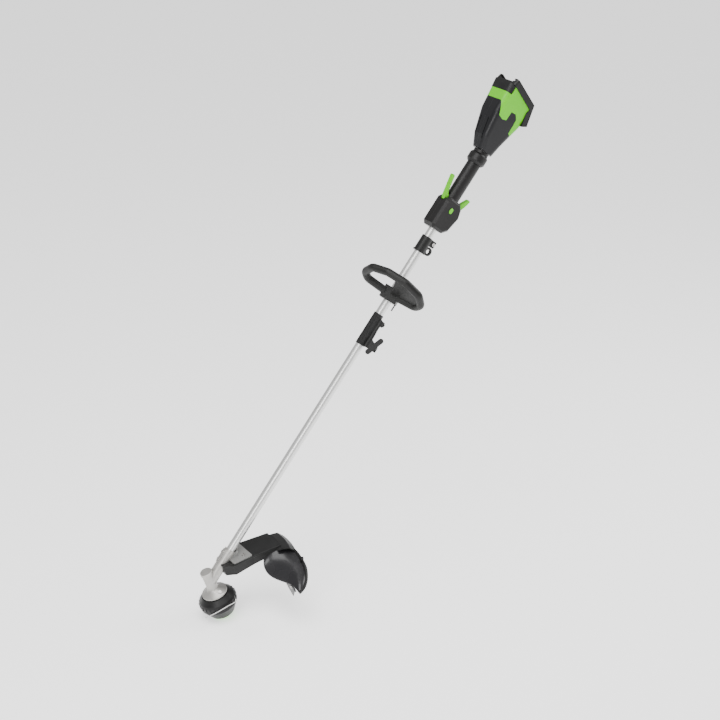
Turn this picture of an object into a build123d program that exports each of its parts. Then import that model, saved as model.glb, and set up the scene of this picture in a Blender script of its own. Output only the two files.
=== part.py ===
from build123d import *
import math
import os

# Straight-shaft string trimmer, millimetres. The origin is the centre of the bump knob's ground face,
# +X points to the rear, +Z up, and the tool's left side is -Y.

# Stance
SHAFT_RISE = 51.0            # shaft above the horizontal, degrees
HEAD_LEAN = 19.0             # spin axis forward of the vertical, degrees
APEX_HEIGHT = 124.0          # from the knob's ground face to where the shaft meets the spin axis

# Fits
RUNNING_FIT = 0.05           # radial clearance of a turning shaft
SLIDING_FIT = 0.10           # radial clearance of a sliding piece
SEAT_FIT = 0.02              # radial clearance of a seated piece
PIECE_GAP = 0.4              # air between a moving piece and its neighbour
SCREW_HEAD_SHARE = 1.1       # height of a socket screw's head over the radius of its shank

# Tubes and drive line
TUBE_RADIUS = 12.7
TUBE_WALL = 1.5
LOWER_TUBE_START = 58.0      # along the shaft from the apex
LOWER_TUBE_LENGTH = 810.0
TUBE_GAP = 4.0               # between the two tubes, inside the coupler
TUBE_SEAT = 33.0             # how far the upper tube goes into the rear housing
DRIVE_RADIUS = 4.0
SQUARE_SIDE = 5.6
SQUARE_LENGTH = 24.0
SOCKET_RADIUS = 8.0
SOCKET_LENGTH = 38.0
SOCKET_OVERHANG = 20.0       # how far the square socket hangs out of the upper tube
BUSHING_LENGTH = 18.0
LOWER_BUSHING_PLACES = (142.0, 422.0, 702.0)     # from the lower end of each tube
UPPER_BUSHING_PLACES = (58.0, 308.0, 568.0)

# Bevel pair
PINION_TEETH = 14
GEAR_TEETH = 20
CONE_LENGTH = 20.0           # apex to the large end of the teeth
FACE_WIDTH = 6.5
TOOTH_SHARE = 0.40           # tooth thickness as a share of the tooth pitch
BEARING_WIDTH = 7.0

# Gear case, heights from the knob's ground face
CASE_RADIUS = 16.5
CASE_WALL = 3.5
DISH_RADIUS = 38.0
DISH_BOTTOM = 83.0
DISH_EDGE = 4.0
DISH_RISE = 10.0
CAP_RADIUS = 18.5
CAP_HEIGHT = 10.5
CASE_TOP = 164.0
NECK_WALL = 4.3
NECK_END = 110.0             # along the shaft from the apex
NECK_BEARING_START = 36.0
NECK_SCREWS = (72.0, 96.0)
NECK_SCREW_RADIUS = 3.0
NECK_SCREW_HEAD = 5.0
GREASE_PLUG_RADIUS = 5.0
GREASE_PLUG_REACH = 28.0     # from the spin axis
GREASE_PLUG_TURN = 75.0      # from the back towards the left, degrees
GREASE_PLUG_DEPTH = 6.0
GREASE_PLUG_SEAT = 0.2
GREASE_PLUG_SLOT_WIDTH = 1.2
GREASE_PLUG_SLOT_DEPTH = 1.6

# Trimmer head, heights from the knob's ground face
HEAD_RADIUS = 56.0
HEAD_TOP = 80.5
HEAD_SHOULDER = 62.0
HEAD_SEAM = 46.0
HEAD_TOP_RADIUS = 41.0
HEAD_WALL = 3.0
COVER_BOTTOM = 10.0
COVER_MOUTH_RADIUS = 34.5
KNOB_FACE_RADIUS = 20.0
KNOB_GAP = 1.0
KNOB_RIM = 8.0
KNOB_TOP = 16.0
SPOOL_BOTTOM = 22.0
SPOOL_TOP = 59.0
SPOOL_CORE = 18.0
SPOOL_FLANGE = 3.0
SPOOL_LOWER_RADIUS = 38.0
SPOOL_UPPER_RADIUS = 50.0
HUB_RADIUS = 8.0
HUB_BOTTOM = 30.0
SPINDLE_BOTTOM = 56.0
SPRING_RADIUS = 13.0
SPRING_WIRE = 1.6
SPRING_TURNS = 4
EYELET_HEIGHT = 47.0
EYELET_ANGLE = 48.0          # from the back towards the left, degrees
EYELET_RADIUS = 5.0
EYELET_STAND = 2.5
EYELET_EDGE = 1.0
GRIP_RIBS = 24
LINE_RADIUS = 1.2
LEFT_ROUTE = ((-0.6, -62.4, 62.0), (-26.6, -55.1, 57.5), (-48.6, -38.4, 47.4), (-55.9, 12.6, 13.6))
RIGHT_ROUTE = ((0.6, 62.4, 49.0), (30.0, 56.0, 46.0))

# Guard, plan sizes from the spin axis and heights from the knob's ground face
ARM_START = 45.0
ARM_BEND = 134.0             # where the arm starts to widen
ARM_END = 226.0
ARM_HALF_WIDTH = 48.0
ARM_FRONT_LEFT = 0.55        # width of the arm's front end over its full width, each side
ARM_FRONT_RIGHT = 0.3
ARM_LEFT_FLARE = 8.0
ARM_RIGHT_FLARE = -18.0
ARM_TOP = (166.0, 152.0, 138.0)
ARM_BOTTOM = (131.0, 126.0, 119.0)
GUARD_WALL = 3.5
HOOD_RADIUS = 270.0
HOOD_BOTTOM = 62.0
HOOD_CURL = 16.0             # how far the hood's lower edge is drawn in
HOOD_WAIST = 78.0
HOOD_LEFT = 18.0             # degrees from the back
HOOD_RIGHT = 4.0
HOOD_SHOULDER = ((5.0, 28.98), (18.0, 9.66))     # in from the radius and below the arm's top, outside
HOOD_SHOULDER_INSIDE = ((5.0, 30.36), (17.0, 12.42))
HOOD_LAP = 8.0               # how far the hood's top laps the arm's end, and its steps there
HOOD_STEP = 1.0
HOOD_BROW = 4.0
HOOD_BROW_INSIDE = 3.0
RIM_RADIUS = 4.5             # the bead round the skirt's outer edge, and its route to the left of the hood
RIM_ROUTE = ((222.0, -52.0, 131.0), (249.0, -67.0, 112.0), (248.0, -110.0, 101.0), (238.0, -149.0, 88.0),
             (225.0, -167.0, 76.0), (201.0, -189.0, 68.0), (177.0, -197.0, 66.0))
BRACKET_START = 75.0
BRACKET_END = 136.0
BRACKET_HALF_WIDTH = 44.0
BRACKET_THICKNESS = 3.0
BRACKET_SADDLE = 14.0        # half width of the saddle under the neck
BRACKET_SCREW_RADIUS = 3.0
SKIRT_SECTIONS = (           # distance to the left, then the front edge, the crown and the outer edge
    (49.0, (165.0, 131.0), (198.0, 135.0), (228.0, 134.0)),
    (66.0, (149.0, 95.0), (200.0, 121.0), (248.0, 113.0)),
    (110.0, (162.0, 77.0), (208.0, 103.0), (247.0, 101.0)),
    (165.0, (177.0, 75.0), (204.0, 85.0), (225.0, 78.0)),
    (195.0, (176.0, 70.0), (184.0, 71.5), (192.0, 69.0)))
SKIRT_WALL = 3.0
BLADE_THICKNESS = 2.0
BLADE_SCREW_RADIUS = 2.5
BLADE_FOOT = 42.0            # length of the blade along the skirt
BLADE_PLACE = (177.0, -122.0)
BLADE_TOP = 72.0
BLADE_LAND = 20.0            # height of the wall that the blade lies on
BLADE_TIP = 20.0

# Coupler
COUPLER_TURN = 138.0         # the clamp's side, from the top towards the left, degrees
SLEEVE_WALL = 2.5
SLEEVE_LOWER_GRIP = 53.0     # how much of each tube the sleeve covers
SLEEVE_UPPER_GRIP = 52.0
CLAMP_RISE = 17.0            # the clamp bolt above the sleeve's lower end
CLAMP_LENGTH = 28.0
CLAMP_REACH = 50.0
CLAMP_HALF_WIDTH = 9.0
CLAMP_SLIT = 2.4
CLAMP_BOLT_RADIUS = 3.0
CLAMP_BOLT_REACH = 40.0
BAR_REACH = 24.0
BAR_SETBACK = 10.0           # the bar's end below the sleeve's upper end
BAR_BEVEL = 4.0
BAR_WAIST = 2.0
CLAMP_STEP = 2.0             # the bar's foot above the sleeve's lower end
BOLT_SINK = 4.0              # the bolt's end below the knob's face
KNOB_WING_LENGTH = 64.0
KNOB_WING_WIDTH = 15.0
KNOB_WING_TURN = 19.0
KNOB_WING_THICKNESS = 11.0
KNOB_HUB_RADIUS = 10.0
KNOB_HUB_HEIGHT = 15.0
BUTTON_SETBACK = 22.0        # the release button below the sleeve's upper end
BUTTON_RADIUS = 5.0
BUTTON_BOSS = 8.5
BUTTON_REACH = 32.0
BUTTON_DEPTH = 12.0
BUTTON_TRAVEL = 3.0
BUTTON_EDGE = 1.0

# Loop handle
LOOP_TURN = 45.0             # from the top towards the left, degrees
LOOP_GAP = 66.0              # from the coupler's end to the middle of the handle's block
LOOP_LEAN = 28.0
LOOP_BAR_RADIUS = 12.0
LOOP_HALF_WIDTH = 95.0
LOOP_RISE = 98.0
LOOP_FOOT = (20.0, 2.0)      # where each side of the bar leaves the block
LOOP_SINK = 9.0              # the loop's foot below the block's top
LOOP_SHARES = ((0.86, 0.1), (1.0, 0.36), (0.82, 0.78), (0.32, 1.0))  # corners over half width and rise
LOOP_BEND = 1.7              # bend of the corners over the bar's radius
LOOP_BLOCK_LENGTH = 40.0
LOOP_BLOCK_TOP = 27.0
LOOP_BLOCK_BOTTOM = 21.0
LOOP_BLOCK_HALF_WIDTH = 27.0
LOOP_WEB = 8.0
LOOP_BOLT_PLACE = 18.0
HEX_KEY_PLACE = 24.0
LOOP_BOLT_RADIUS = 2.5
HEX_KEY_RADIUS = 2.5
HEX_KEY_OUT = 19.0           # how much of the key shows below the block
HEX_KEY_LENGTH = 48.0
HEX_KEY_DROP = 12.0

# Strap clamp
STRAP_GAP = 150.0            # from the handle's block
STRAP_LENGTH = 50.0
STRAP_WALL = 4.3
STRAP_FLANGE_STAND = 2.5
STRAP_FLANGE = 4.0
STRAP_RING_RADIUS = 13.0
STRAP_RING_HOLE = 7.5
STRAP_RING_THICKNESS = 8.0
STRAP_RING_DROP = 28.0
STRAP_RING_RISE = 15.0
STRAP_EAR_DROP = 34.0
STRAP_EAR_LENGTH = 20.0
STRAP_BOLT_RADIUS = 2.5

# Grip and controls, the pivots and tips as (above the shaft's middle, along the shaft from the grip's neck)
GRIP_GAP = 29.0              # from the strap clamp
HOUSING_LENGTH = 102.0       # the trigger housing, up to the neck where the hand grip begins
GRIP_LENGTH = 123.0
GRIP_HEIGHT = 43.0
GRIP_WIDTH = 40.0
HOUSING_HALF_WIDTH = 28.0
HOUSING_TOP = 32.0
HOUSING_BOTTOM = 44.0
HOUSING_CHAMFER = 7.0
HOUSING_WALL = 3.0           # between the tube and the controls
HOUSING_BROW = (9.0, 10.0)   # corners of the housing's side, as steps from its top, bottom, start and neck
HOUSING_SLOPE = 12.0
HOUSING_HEEL = (8.0, 14.0)
HOUSING_BELLY = 38.0
HOUSING_TOE = (10.0, 16.0)
HOUSING_FOOT = 2.0
TRIGGER_SLOT = 37.0          # the slots' ends, before and past the neck
LEVER_SLOT = 17.0
SLOT_PAST_NECK = 12.0
GRIP_SCREW_STEPS = ((2.0, 16.0), (5.0, 14.0), (3.6, 20.0))   # in from the edge, and from the nearer end
COLLAR_LENGTH = 41.0
COLLAR_RADIUS = 28.5
COLLAR_STEP = 5.0
COLLAR_RAMP = 7.0
COLLAR_SHOULDER = 14.0
COLLAR_NOSE = 8.0
CONTROL_HALF_WIDTH = 7.0
TRIGGER_PIVOT_PLACE = (-30.0, -22.0)
TRIGGER_TIP_PLACE = (-56.0, 26.0)
CONTROL_PIN_RADIUS = 2.0
TRIGGER_HOOK = ((4.0, 7.0), (4.0, 4.0), (3.0, 1.0))          # steps from the pivot, the middle and the tip
TRIGGER_BACK = ((-5.0, -6.0), (-7.0, -5.0), (-3.0, -1.0))
TRIGGER_HEEL = ((5.0, -9.0), (8.0, 0.0))                     # steps from the pivot
LEVER_HEEL = ((6.0, 18.0), (-3.0, 8.0), (-4.0, -6.0), (4.0, -8.0), (9.0, 2.0))
LEVER_NOSE = ((2.0, -4.0), (0.0, 0.0), (-5.0, -2.0))         # steps from the tip
LEVER_PIVOT_PLACE = (25.0, -6.0)
LEVER_TIP_PLACE = (46.0, 61.0)
SPEED_BUTTON_SETBACK = 33.0
SPEED_BUTTON_LENGTH = 17.0
SPEED_BUTTON_WIDTH = 11.0
SPEED_BUTTON_STAND = 2.5
SPEED_BUTTON_TRAVEL = 2.0
SPEED_BUTTON_EDGE = 1.0
SWITCH_RISE = 25.0           # above the housing's lower end
SWITCH_LENGTH = 38.0
SWITCH_DEPTH = 18.0
SCREW_RADIUS = 1.6           # the screws that close the grip and the rear housing
SCREW_LENGTH = 18.0

# Rear housing
REAR_GAP = 2.0               # from the grip's collar to the nose
REAR_SECTIONS = (            # distance from the nose, rise of the middle, height, width, corner radius
    (0.0, 0.0, 56.0, 52.0, 18.0),
    (37.0, 8.0, 76.0, 64.0, 16.0),
    (73.0, 9.5, 93.0, 74.0, 18.0),
    (109.0, 10.5, 109.0, 84.0, 18.0),
    (155.0, 10.0, 118.0, 89.0, 18.0),
    (230.0, 10.0, 136.0, 92.0, 18.0))
REAR_LENGTH = 182.0
DOCK_LEAN = 16.0
COVER_WALL = 3.0
COVER_FRONT = 143.0          # the green band's front edge, from the nose
COVER_PRONG = 102.0          # tip of its upper prong
COVER_LOW_PRONG = 76.0
COVER_SPAN = 120.0           # reach of the band's outline, clear of the housing
# Corners of the band's edge: above the shaft, and behind the front or the prong, before the front, behind the low prong
COVER_BROW = ((67.0, 2.0), (50.0, 4.0), (31.0, 0.0), (18.0, 5.0))
COVER_PANEL = ((18.0, 8.0), (0.0, 6.0), (-12.0, 18.0))
COVER_LOW_EDGE = ((-18.0, 5.0), (-33.0, 0.0))
HOUSING_SCREWS = ((30.0, 36.0), (-22.0, 36.0), (48.0, 140.0), (-38.0, 128.0))   # above the shaft, from the nose
AIR_SLOT_START = 26.0        # from the nose
AIR_SLOT_LENGTH = 60.0
AIR_SLOT_WIDTH = 3.0
AIR_SLOT_PLACE = 17.0
MOTOR_GAP = 32.0             # from the tube's end to the motor
MOTOR_SHAFT_TAIL = 16.0      # how far the shaft goes past the fan
MOTOR_SHAFT_ROOM = 3.0
STATOR_RADIUS = 30.0
STATOR_LENGTH = 52.0
STATOR_BORE = 18.0
ROTOR_GAP = 0.6
ROTOR_SETBACK = 3.0
FAN_LENGTH = 14.0
FAN_BLADES = 9
FAN_TIP_GAP = 3.0
FAN_DISC = 2.0
FAN_BLADE_SETBACK = 2.0
FAN_BLADE_WALL = 1.6
FAN_BLADE_TURN = 20.0
FAN_GAP = 3.0
MOTOR_BEARING_RADIUS = 11.0
BOARD_DROP = 32.0
BOARD_WIDTH = 60.0
BOARD_LENGTH = 24.0
BOARD_THICKNESS = 3.0
BOARD_LAP = 8.0              # how far the board reaches before the shaft's end
DOCK_WIDTH = 96.0
DOCK_TOP = 70.0              # the dock's upper and lower ends, along its face from the shaft
DOCK_KNEE = -33.0
DOCK_THICKNESS = 20.0
DOCK_FLOOR = 8.0
DOCK_CHANNEL = 60.0
DOCK_STOP = -18.0            # where the battery comes to rest
DOCK_LIP = 5.0
DOCK_CORNER = 9.0
CHIN_DROP = 68.0             # the chin that wraps under the rear end of the housing
CHIN_REACH = 36.0
CHIN_LIP = 14.0
TERMINAL_LENGTH = 36.0
TERMINAL_WIDTH = 40.0
TERMINAL_STAND = 10.0
BLADE_COUNT = 4
CONTACT_LENGTH = 18.0
CONTACT_THICKNESS = 1.2
CONTACT_HEIGHT = 6.0
CONTACT_RISE = 5.0           # the contacts' middle above the dock's floor
LATCH_SETBACK = 8.0          # the release cap's front edge before the dock's face, at the shaft
LATCH_FLOOR = 57.0           # the release cap's underside above the shaft
LATCH_STAND = 1.0
LATCH_REAR_GAP = 1.4         # the cap nears the dock's leaning face as it goes down
LATCH_STEM_RADIUS = 4.0
LATCH_STEM_LENGTH = 14.0
LATCH_STEM_PLACE = 24.0
LATCH_TRAVEL = 3.0

# Radii on the tube, and places along the shaft from the apex, each from the piece below it
NECK_RADIUS = TUBE_RADIUS + NECK_WALL
SLEEVE_RADIUS = TUBE_RADIUS + SLEEVE_WALL
STRAP_RADIUS = TUBE_RADIUS + STRAP_WALL
STRAP_FLANGE_RADIUS = STRAP_RADIUS + STRAP_FLANGE_STAND
LOWER_TUBE_END = LOWER_TUBE_START + LOWER_TUBE_LENGTH
UPPER_TUBE_START = LOWER_TUBE_END + TUBE_GAP
LOWER_BUSHINGS = [LOWER_TUBE_START + place for place in LOWER_BUSHING_PLACES]
UPPER_BUSHINGS = [UPPER_TUBE_START + place for place in UPPER_BUSHING_PLACES]
SOCKET_START = UPPER_TUBE_START - SOCKET_OVERHANG
SLEEVE_START = UPPER_TUBE_START - SLEEVE_LOWER_GRIP
SLEEVE_END = UPPER_TUBE_START + SLEEVE_UPPER_GRIP
CLAMP_HEIGHT = SLEEVE_START + CLAMP_RISE
BAR_END = SLEEVE_END - BAR_SETBACK
BUTTON_HEIGHT = SLEEVE_END - BUTTON_SETBACK
LOOP_HEIGHT = SLEEVE_END + LOOP_GAP
HEX_KEY_START = LOOP_HEIGHT - LOOP_BLOCK_LENGTH / 2 - HEX_KEY_OUT
STRAP_START = LOOP_HEIGHT + STRAP_GAP
GRIP_START = STRAP_START + STRAP_LENGTH + GRIP_GAP
GRIP_NECK = GRIP_START + HOUSING_LENGTH
GRIP_END = GRIP_NECK + GRIP_LENGTH
TRIGGER_PIVOT, TRIGGER_TIP, LEVER_PIVOT, LEVER_TIP = [
    (rise, GRIP_NECK + along) for rise, along in
    (TRIGGER_PIVOT_PLACE, TRIGGER_TIP_PLACE, LEVER_PIVOT_PLACE, LEVER_TIP_PLACE)]
SPEED_BUTTON_HEIGHT = GRIP_NECK - SPEED_BUTTON_SETBACK
SWITCH_START = GRIP_START + SWITCH_RISE
REAR_START = GRIP_END + COLLAR_LENGTH + REAR_GAP
UPPER_TUBE_END = REAR_START + TUBE_SEAT
MOTOR_START = UPPER_TUBE_END + MOTOR_GAP
MOTOR_END = MOTOR_START + STATOR_LENGTH + FAN_LENGTH + 2 * FAN_GAP
MOTOR_SHAFT_END = MOTOR_END + MOTOR_SHAFT_TAIL
LATCH_START = REAR_START + REAR_LENGTH - LATCH_SETBACK

sin_of = lambda angle: math.sin(math.radians(angle))
cos_of = lambda angle: math.cos(math.radians(angle))

# The head frame has X to the back, Y to the right and Z up the spin axis.
# The shaft frame has X to the top, Y to the left and Z up the shaft from the apex.
HEAD = Plane((0, 0, 0), x_dir=(cos_of(HEAD_LEAN), 0, sin_of(HEAD_LEAN)),
             z_dir=(-sin_of(HEAD_LEAN), 0, cos_of(HEAD_LEAN)))
APEX = HEAD.from_local_coords(Vector(0, 0, APEX_HEIGHT))
SHAFT = Plane(APEX, x_dir=(-sin_of(SHAFT_RISE), 0, cos_of(SHAFT_RISE)),
              z_dir=(cos_of(SHAFT_RISE), 0, sin_of(SHAFT_RISE)))
NECK_RISE = SHAFT_RISE - HEAD_LEAN
NECK = Plane((0, 0, APEX_HEIGHT), x_dir=(-sin_of(NECK_RISE), 0, cos_of(NECK_RISE)),
             z_dir=(cos_of(NECK_RISE), 0, sin_of(NECK_RISE)))


def turned_shaft(angle):
    """The shaft frame with its X turned from the top towards the left."""
    return Plane(APEX, x_dir=SHAFT.x_dir * cos_of(angle) + SHAFT.y_dir * sin_of(angle), z_dir=SHAFT.z_dir)


COUPLER = turned_shaft(COUPLER_TURN)
LOOP = turned_shaft(LOOP_TURN)

os.makedirs("parts", exist_ok=True)


def finish(piece, name, frame):
    """Put a piece made in its own frame on the trimmer, and write its file."""
    placed = frame.location * piece
    placed.label = name
    export_step(placed, f"parts/{name}.step")


def turned(*outline):
    """A solid turned about Z from a closed outline of (radius, height) points."""
    with BuildPart() as solid:
        with BuildSketch(Plane.XZ):
            with BuildLine():
                Polyline(*outline, close=True)
            make_face()
        revolve(axis=Axis.Z)
    return solid.part


def ring(outer, inner, low, high):
    """A round sleeve between two heights."""
    return turned((inner, low), (outer, low), (outer, high), (inner, high))


def rod(radius, low, high):
    """A round bar between two heights."""
    return turned((0, low), (radius, low), (radius, high), (0, high))


def cap_screw(radius, head, low, seat):
    """A socket screw along Z: its shank from low to the seat, and its head above."""
    head_height = SCREW_HEAD_SHARE * radius
    with BuildPart() as screw:
        add(rod(radius, low, seat))
        add(rod(head, seat, seat + head_height))
        with BuildSketch(Plane.XY.offset(seat + head_height)):
            RegularPolygon(0.55 * head, 6)
        extrude(amount=-0.7 * head_height, mode=Mode.SUBTRACT)
    return screw.part


# Tubes
finish(ring(TUBE_RADIUS, TUBE_RADIUS - TUBE_WALL, LOWER_TUBE_START, LOWER_TUBE_END), "lower_tube", SHAFT)
finish(ring(TUBE_RADIUS, TUBE_RADIUS - TUBE_WALL, UPPER_TUBE_START, UPPER_TUBE_END), "upper_tube", SHAFT)

# Shaft bushings, a row in each tube
for bushing_name, bushing_heights in (("lower_bushings", LOWER_BUSHINGS), ("upper_bushings", UPPER_BUSHINGS)):
    with BuildPart() as bushings:
        with Locations(*[(0, 0, height) for height in bushing_heights]):
            Cylinder(TUBE_RADIUS - TUBE_WALL - SEAT_FIT, BUSHING_LENGTH)
            Cylinder(DRIVE_RADIUS + RUNNING_FIT, BUSHING_LENGTH, mode=Mode.SUBTRACT)
    finish(bushings.part, bushing_name, SHAFT)

# Bevel pair: pitch cones that meet at the apex, with straight tapered teeth
GEAR_ANGLE = 90.0 - NECK_RISE
PINION_CONE = math.degrees(math.atan2(sin_of(GEAR_ANGLE), GEAR_TEETH / PINION_TEETH + cos_of(GEAR_ANGLE)))
GEAR_CONE = GEAR_ANGLE - PINION_CONE
MODULE = 2 * CONE_LENGTH * sin_of(GEAR_CONE) / GEAR_TEETH
ADDENDUM = 0.75 * MODULE
DEDENDUM = 1.15 * MODULE


def bevel_wheel(cone, teeth, bore, phase):
    """A bevel wheel whose pitch cone has its tip at the origin and opens along +Z."""
    inner_share = 1 - FACE_WIDTH / CONE_LENGTH
    pitch_width = math.pi * MODULE * TOOTH_SHARE
    outline = []
    for share in (inner_share, 1.0):
        radius = share * (CONE_LENGTH * sin_of(cone) - DEDENDUM * cos_of(cone))
        height = share * (CONE_LENGTH * cos_of(cone) + DEDENDUM * sin_of(cone))
        outline.append((radius, height))
    with BuildPart() as tooth:
        for share in (inner_share, 1.0):
            middle = Vector(share * CONE_LENGTH * sin_of(cone), 0, share * CONE_LENGTH * cos_of(cone))
            face = Plane(middle, x_dir=(0, -1, 0), z_dir=(sin_of(cone), 0, cos_of(cone)))
            with BuildSketch(face):
                with BuildLine():
                    Polyline((-0.75 * share * pitch_width, -1.1 * share * DEDENDUM),
                             (0.75 * share * pitch_width, -1.1 * share * DEDENDUM),
                             (0.28 * share * pitch_width, share * ADDENDUM),
                             (-0.28 * share * pitch_width, share * ADDENDUM), close=True)
                make_face()
        loft(ruled=True)
    with BuildPart() as wheel:
        add(turned((0, outline[0][1]), outline[0], outline[1], (0, outline[1][1])))
        with PolarLocations(0, teeth, start_angle=phase):
            add(tooth.part)
        if bore:
            Cylinder(bore, 4 * CONE_LENGTH, mode=Mode.SUBTRACT)
    return wheel.part


# Lower drive shaft: a steel bar with the pinion at its foot and a square upper end
LOWER_DRIVE_START = (CONE_LENGTH - FACE_WIDTH) * cos_of(PINION_CONE)
with BuildPart() as lower_drive_shaft:
    add(rod(DRIVE_RADIUS, LOWER_DRIVE_START, SOCKET_START - PIECE_GAP))
    with BuildSketch(Plane.XY.offset(SOCKET_START - PIECE_GAP)):
        Rectangle(SQUARE_SIDE, SQUARE_SIDE)
    extrude(amount=SQUARE_LENGTH)
finish(lower_drive_shaft.part, "lower_drive_shaft", SHAFT)
finish(bevel_wheel(PINION_CONE, PINION_TEETH, DRIVE_RADIUS + SEAT_FIT, 180 / PINION_TEETH), "bevel_pinion", SHAFT)

# Upper drive shaft: it runs from the square socket up through the motor
with BuildPart() as upper_drive_shaft:
    add(rod(DRIVE_RADIUS, SOCKET_START + SOCKET_LENGTH, MOTOR_SHAFT_END))
    add(rod(SOCKET_RADIUS, SOCKET_START, SOCKET_START + SOCKET_LENGTH))
    with BuildSketch(Plane.XY.offset(SOCKET_START)):
        Rectangle(SQUARE_SIDE + PIECE_GAP, SQUARE_SIDE + PIECE_GAP)
    extrude(amount=SQUARE_LENGTH + PIECE_GAP, mode=Mode.SUBTRACT)
finish(upper_drive_shaft.part, "upper_drive_shaft", SHAFT)

# Bevel gear on its spindle
SPINDLE_TOP = CASE_TOP - CASE_WALL - PIECE_GAP
BEARING_RADIUS = CASE_RADIUS - CASE_WALL
finish(bevel_wheel(GEAR_CONE, GEAR_TEETH, DRIVE_RADIUS + SEAT_FIT, 0), "bevel_gear", HEAD.offset(APEX_HEIGHT))
finish(rod(DRIVE_RADIUS, SPINDLE_BOTTOM, SPINDLE_TOP), "spindle", HEAD)

# Gear case: a casting with a dish over the head, a gear chamber and a slanted neck for the tube
DISH_TOP = DISH_BOTTOM + DISH_EDGE + DISH_RISE
CAP_BOTTOM = CASE_TOP - CAP_HEIGHT
NECK_BEARING_RADIUS = TUBE_RADIUS - TUBE_WALL
DISH_SLOPE = math.degrees(math.atan2(DISH_RISE, DISH_RADIUS - CASE_RADIUS - CASE_WALL))
PLUG_OUT = Vector(cos_of(GREASE_PLUG_TURN), -sin_of(GREASE_PLUG_TURN), 0)
PLUG_HEIGHT = DISH_BOTTOM + DISH_EDGE + (DISH_RADIUS - GREASE_PLUG_REACH) * math.tan(math.radians(DISH_SLOPE))
PLUG_FACE = Plane(PLUG_OUT * GREASE_PLUG_REACH + Vector(0, 0, PLUG_HEIGHT), x_dir=PLUG_OUT.cross(Vector(0, 0, 1)),
                  z_dir=PLUG_OUT * sin_of(DISH_SLOPE) + Vector(0, 0, cos_of(DISH_SLOPE)))
with BuildPart() as gear_case:
    add(turned((0, DISH_BOTTOM), (DISH_RADIUS, DISH_BOTTOM), (DISH_RADIUS, DISH_BOTTOM + DISH_EDGE),
               (CASE_RADIUS + CASE_WALL, DISH_TOP), (CASE_RADIUS, DISH_TOP + CASE_WALL),
               (CASE_RADIUS, CAP_BOTTOM), (0, CAP_BOTTOM)))
    with BuildSketch(NECK):
        Circle(NECK_RADIUS)
    extrude(amount=NECK_END)
    with BuildSketch(NECK.offset(NECK_SCREWS[0] - 2 * NECK_SCREW_HEAD)):
        with Locations((NECK_RADIUS, 0)):
            Rectangle(NECK_SCREW_HEAD, 2.6 * NECK_SCREW_HEAD)
    extrude(amount=NECK_SCREWS[1] - NECK_SCREWS[0] + 4 * NECK_SCREW_HEAD)
    add(rod(CAP_RADIUS + SEAT_FIT, CAP_BOTTOM, CASE_TOP + NECK_RADIUS), mode=Mode.SUBTRACT)
    add(rod(BEARING_RADIUS, DISH_TOP + CASE_WALL, CAP_BOTTOM), mode=Mode.SUBTRACT)
    add(rod(NECK_BEARING_RADIUS, DISH_BOTTOM, DISH_BOTTOM + BEARING_WIDTH), mode=Mode.SUBTRACT)
    add(rod(DRIVE_RADIUS + CASE_WALL, DISH_BOTTOM, DISH_TOP + CASE_WALL), mode=Mode.SUBTRACT)
    with BuildSketch(NECK):
        Circle(NECK_BEARING_RADIUS)
    extrude(amount=NECK_END, mode=Mode.SUBTRACT)
    with BuildSketch(NECK.offset(LOWER_TUBE_START)):
        Circle(TUBE_RADIUS + SEAT_FIT)
    extrude(amount=NECK_END, mode=Mode.SUBTRACT)
    for height in NECK_SCREWS:
        with BuildSketch(Plane(NECK.from_local_coords(Vector(0, 0, height)), x_dir=(0, 1, 0), z_dir=NECK.x_dir)):
            Circle(NECK_SCREW_RADIUS + SEAT_FIT)
        extrude(amount=2 * NECK_RADIUS, mode=Mode.SUBTRACT)
    with BuildSketch(PLUG_FACE):
        Circle(GREASE_PLUG_RADIUS / 2 + SEAT_FIT)
    extrude(amount=-GREASE_PLUG_DEPTH, mode=Mode.SUBTRACT)
finish(gear_case.part, "gear_case", HEAD)

with BuildPart() as grease_plug:
    with Locations(PLUG_FACE):
        add(rod(GREASE_PLUG_RADIUS / 2, -GREASE_PLUG_DEPTH, 0))
        add(rod(GREASE_PLUG_RADIUS, GREASE_PLUG_SEAT, GREASE_PLUG_RADIUS / 2))
        Cylinder(GREASE_PLUG_RADIUS / 2, GREASE_PLUG_SEAT, align=(Align.CENTER, Align.CENTER, Align.MIN))
        with Locations((0, 0, GREASE_PLUG_RADIUS / 2)):
            Box(2 * GREASE_PLUG_RADIUS, GREASE_PLUG_SLOT_WIDTH, GREASE_PLUG_SLOT_DEPTH, mode=Mode.SUBTRACT)
finish(grease_plug.part, "grease_plug", HEAD)

with BuildPart() as gear_case_cap:
    add(turned((0, CAP_BOTTOM), (CAP_RADIUS, CAP_BOTTOM), (CAP_RADIUS, CASE_TOP - CASE_WALL / 2),
               (CAP_RADIUS - CASE_WALL / 2, CASE_TOP), (0, CASE_TOP)))
    add(rod(BEARING_RADIUS, CAP_BOTTOM, CASE_TOP - CASE_WALL), mode=Mode.SUBTRACT)
finish(gear_case_cap.part, "gear_case_cap", HEAD)

# Gear case bearings: two on the spindle and one at the pinion
with BuildPart() as gear_case_bearings:
    add(ring(BEARING_RADIUS - SEAT_FIT, DRIVE_RADIUS + RUNNING_FIT,
             CASE_TOP - CASE_WALL - BEARING_WIDTH, CASE_TOP - CASE_WALL))
    add(ring(NECK_BEARING_RADIUS - SEAT_FIT, DRIVE_RADIUS + RUNNING_FIT, DISH_BOTTOM, DISH_BOTTOM + BEARING_WIDTH))
    add(NECK.location * ring(NECK_BEARING_RADIUS - SEAT_FIT, DRIVE_RADIUS + RUNNING_FIT,
                             NECK_BEARING_START, NECK_BEARING_START + BEARING_WIDTH))
finish(gear_case_bearings.part, "gear_case_bearings", HEAD)

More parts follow.
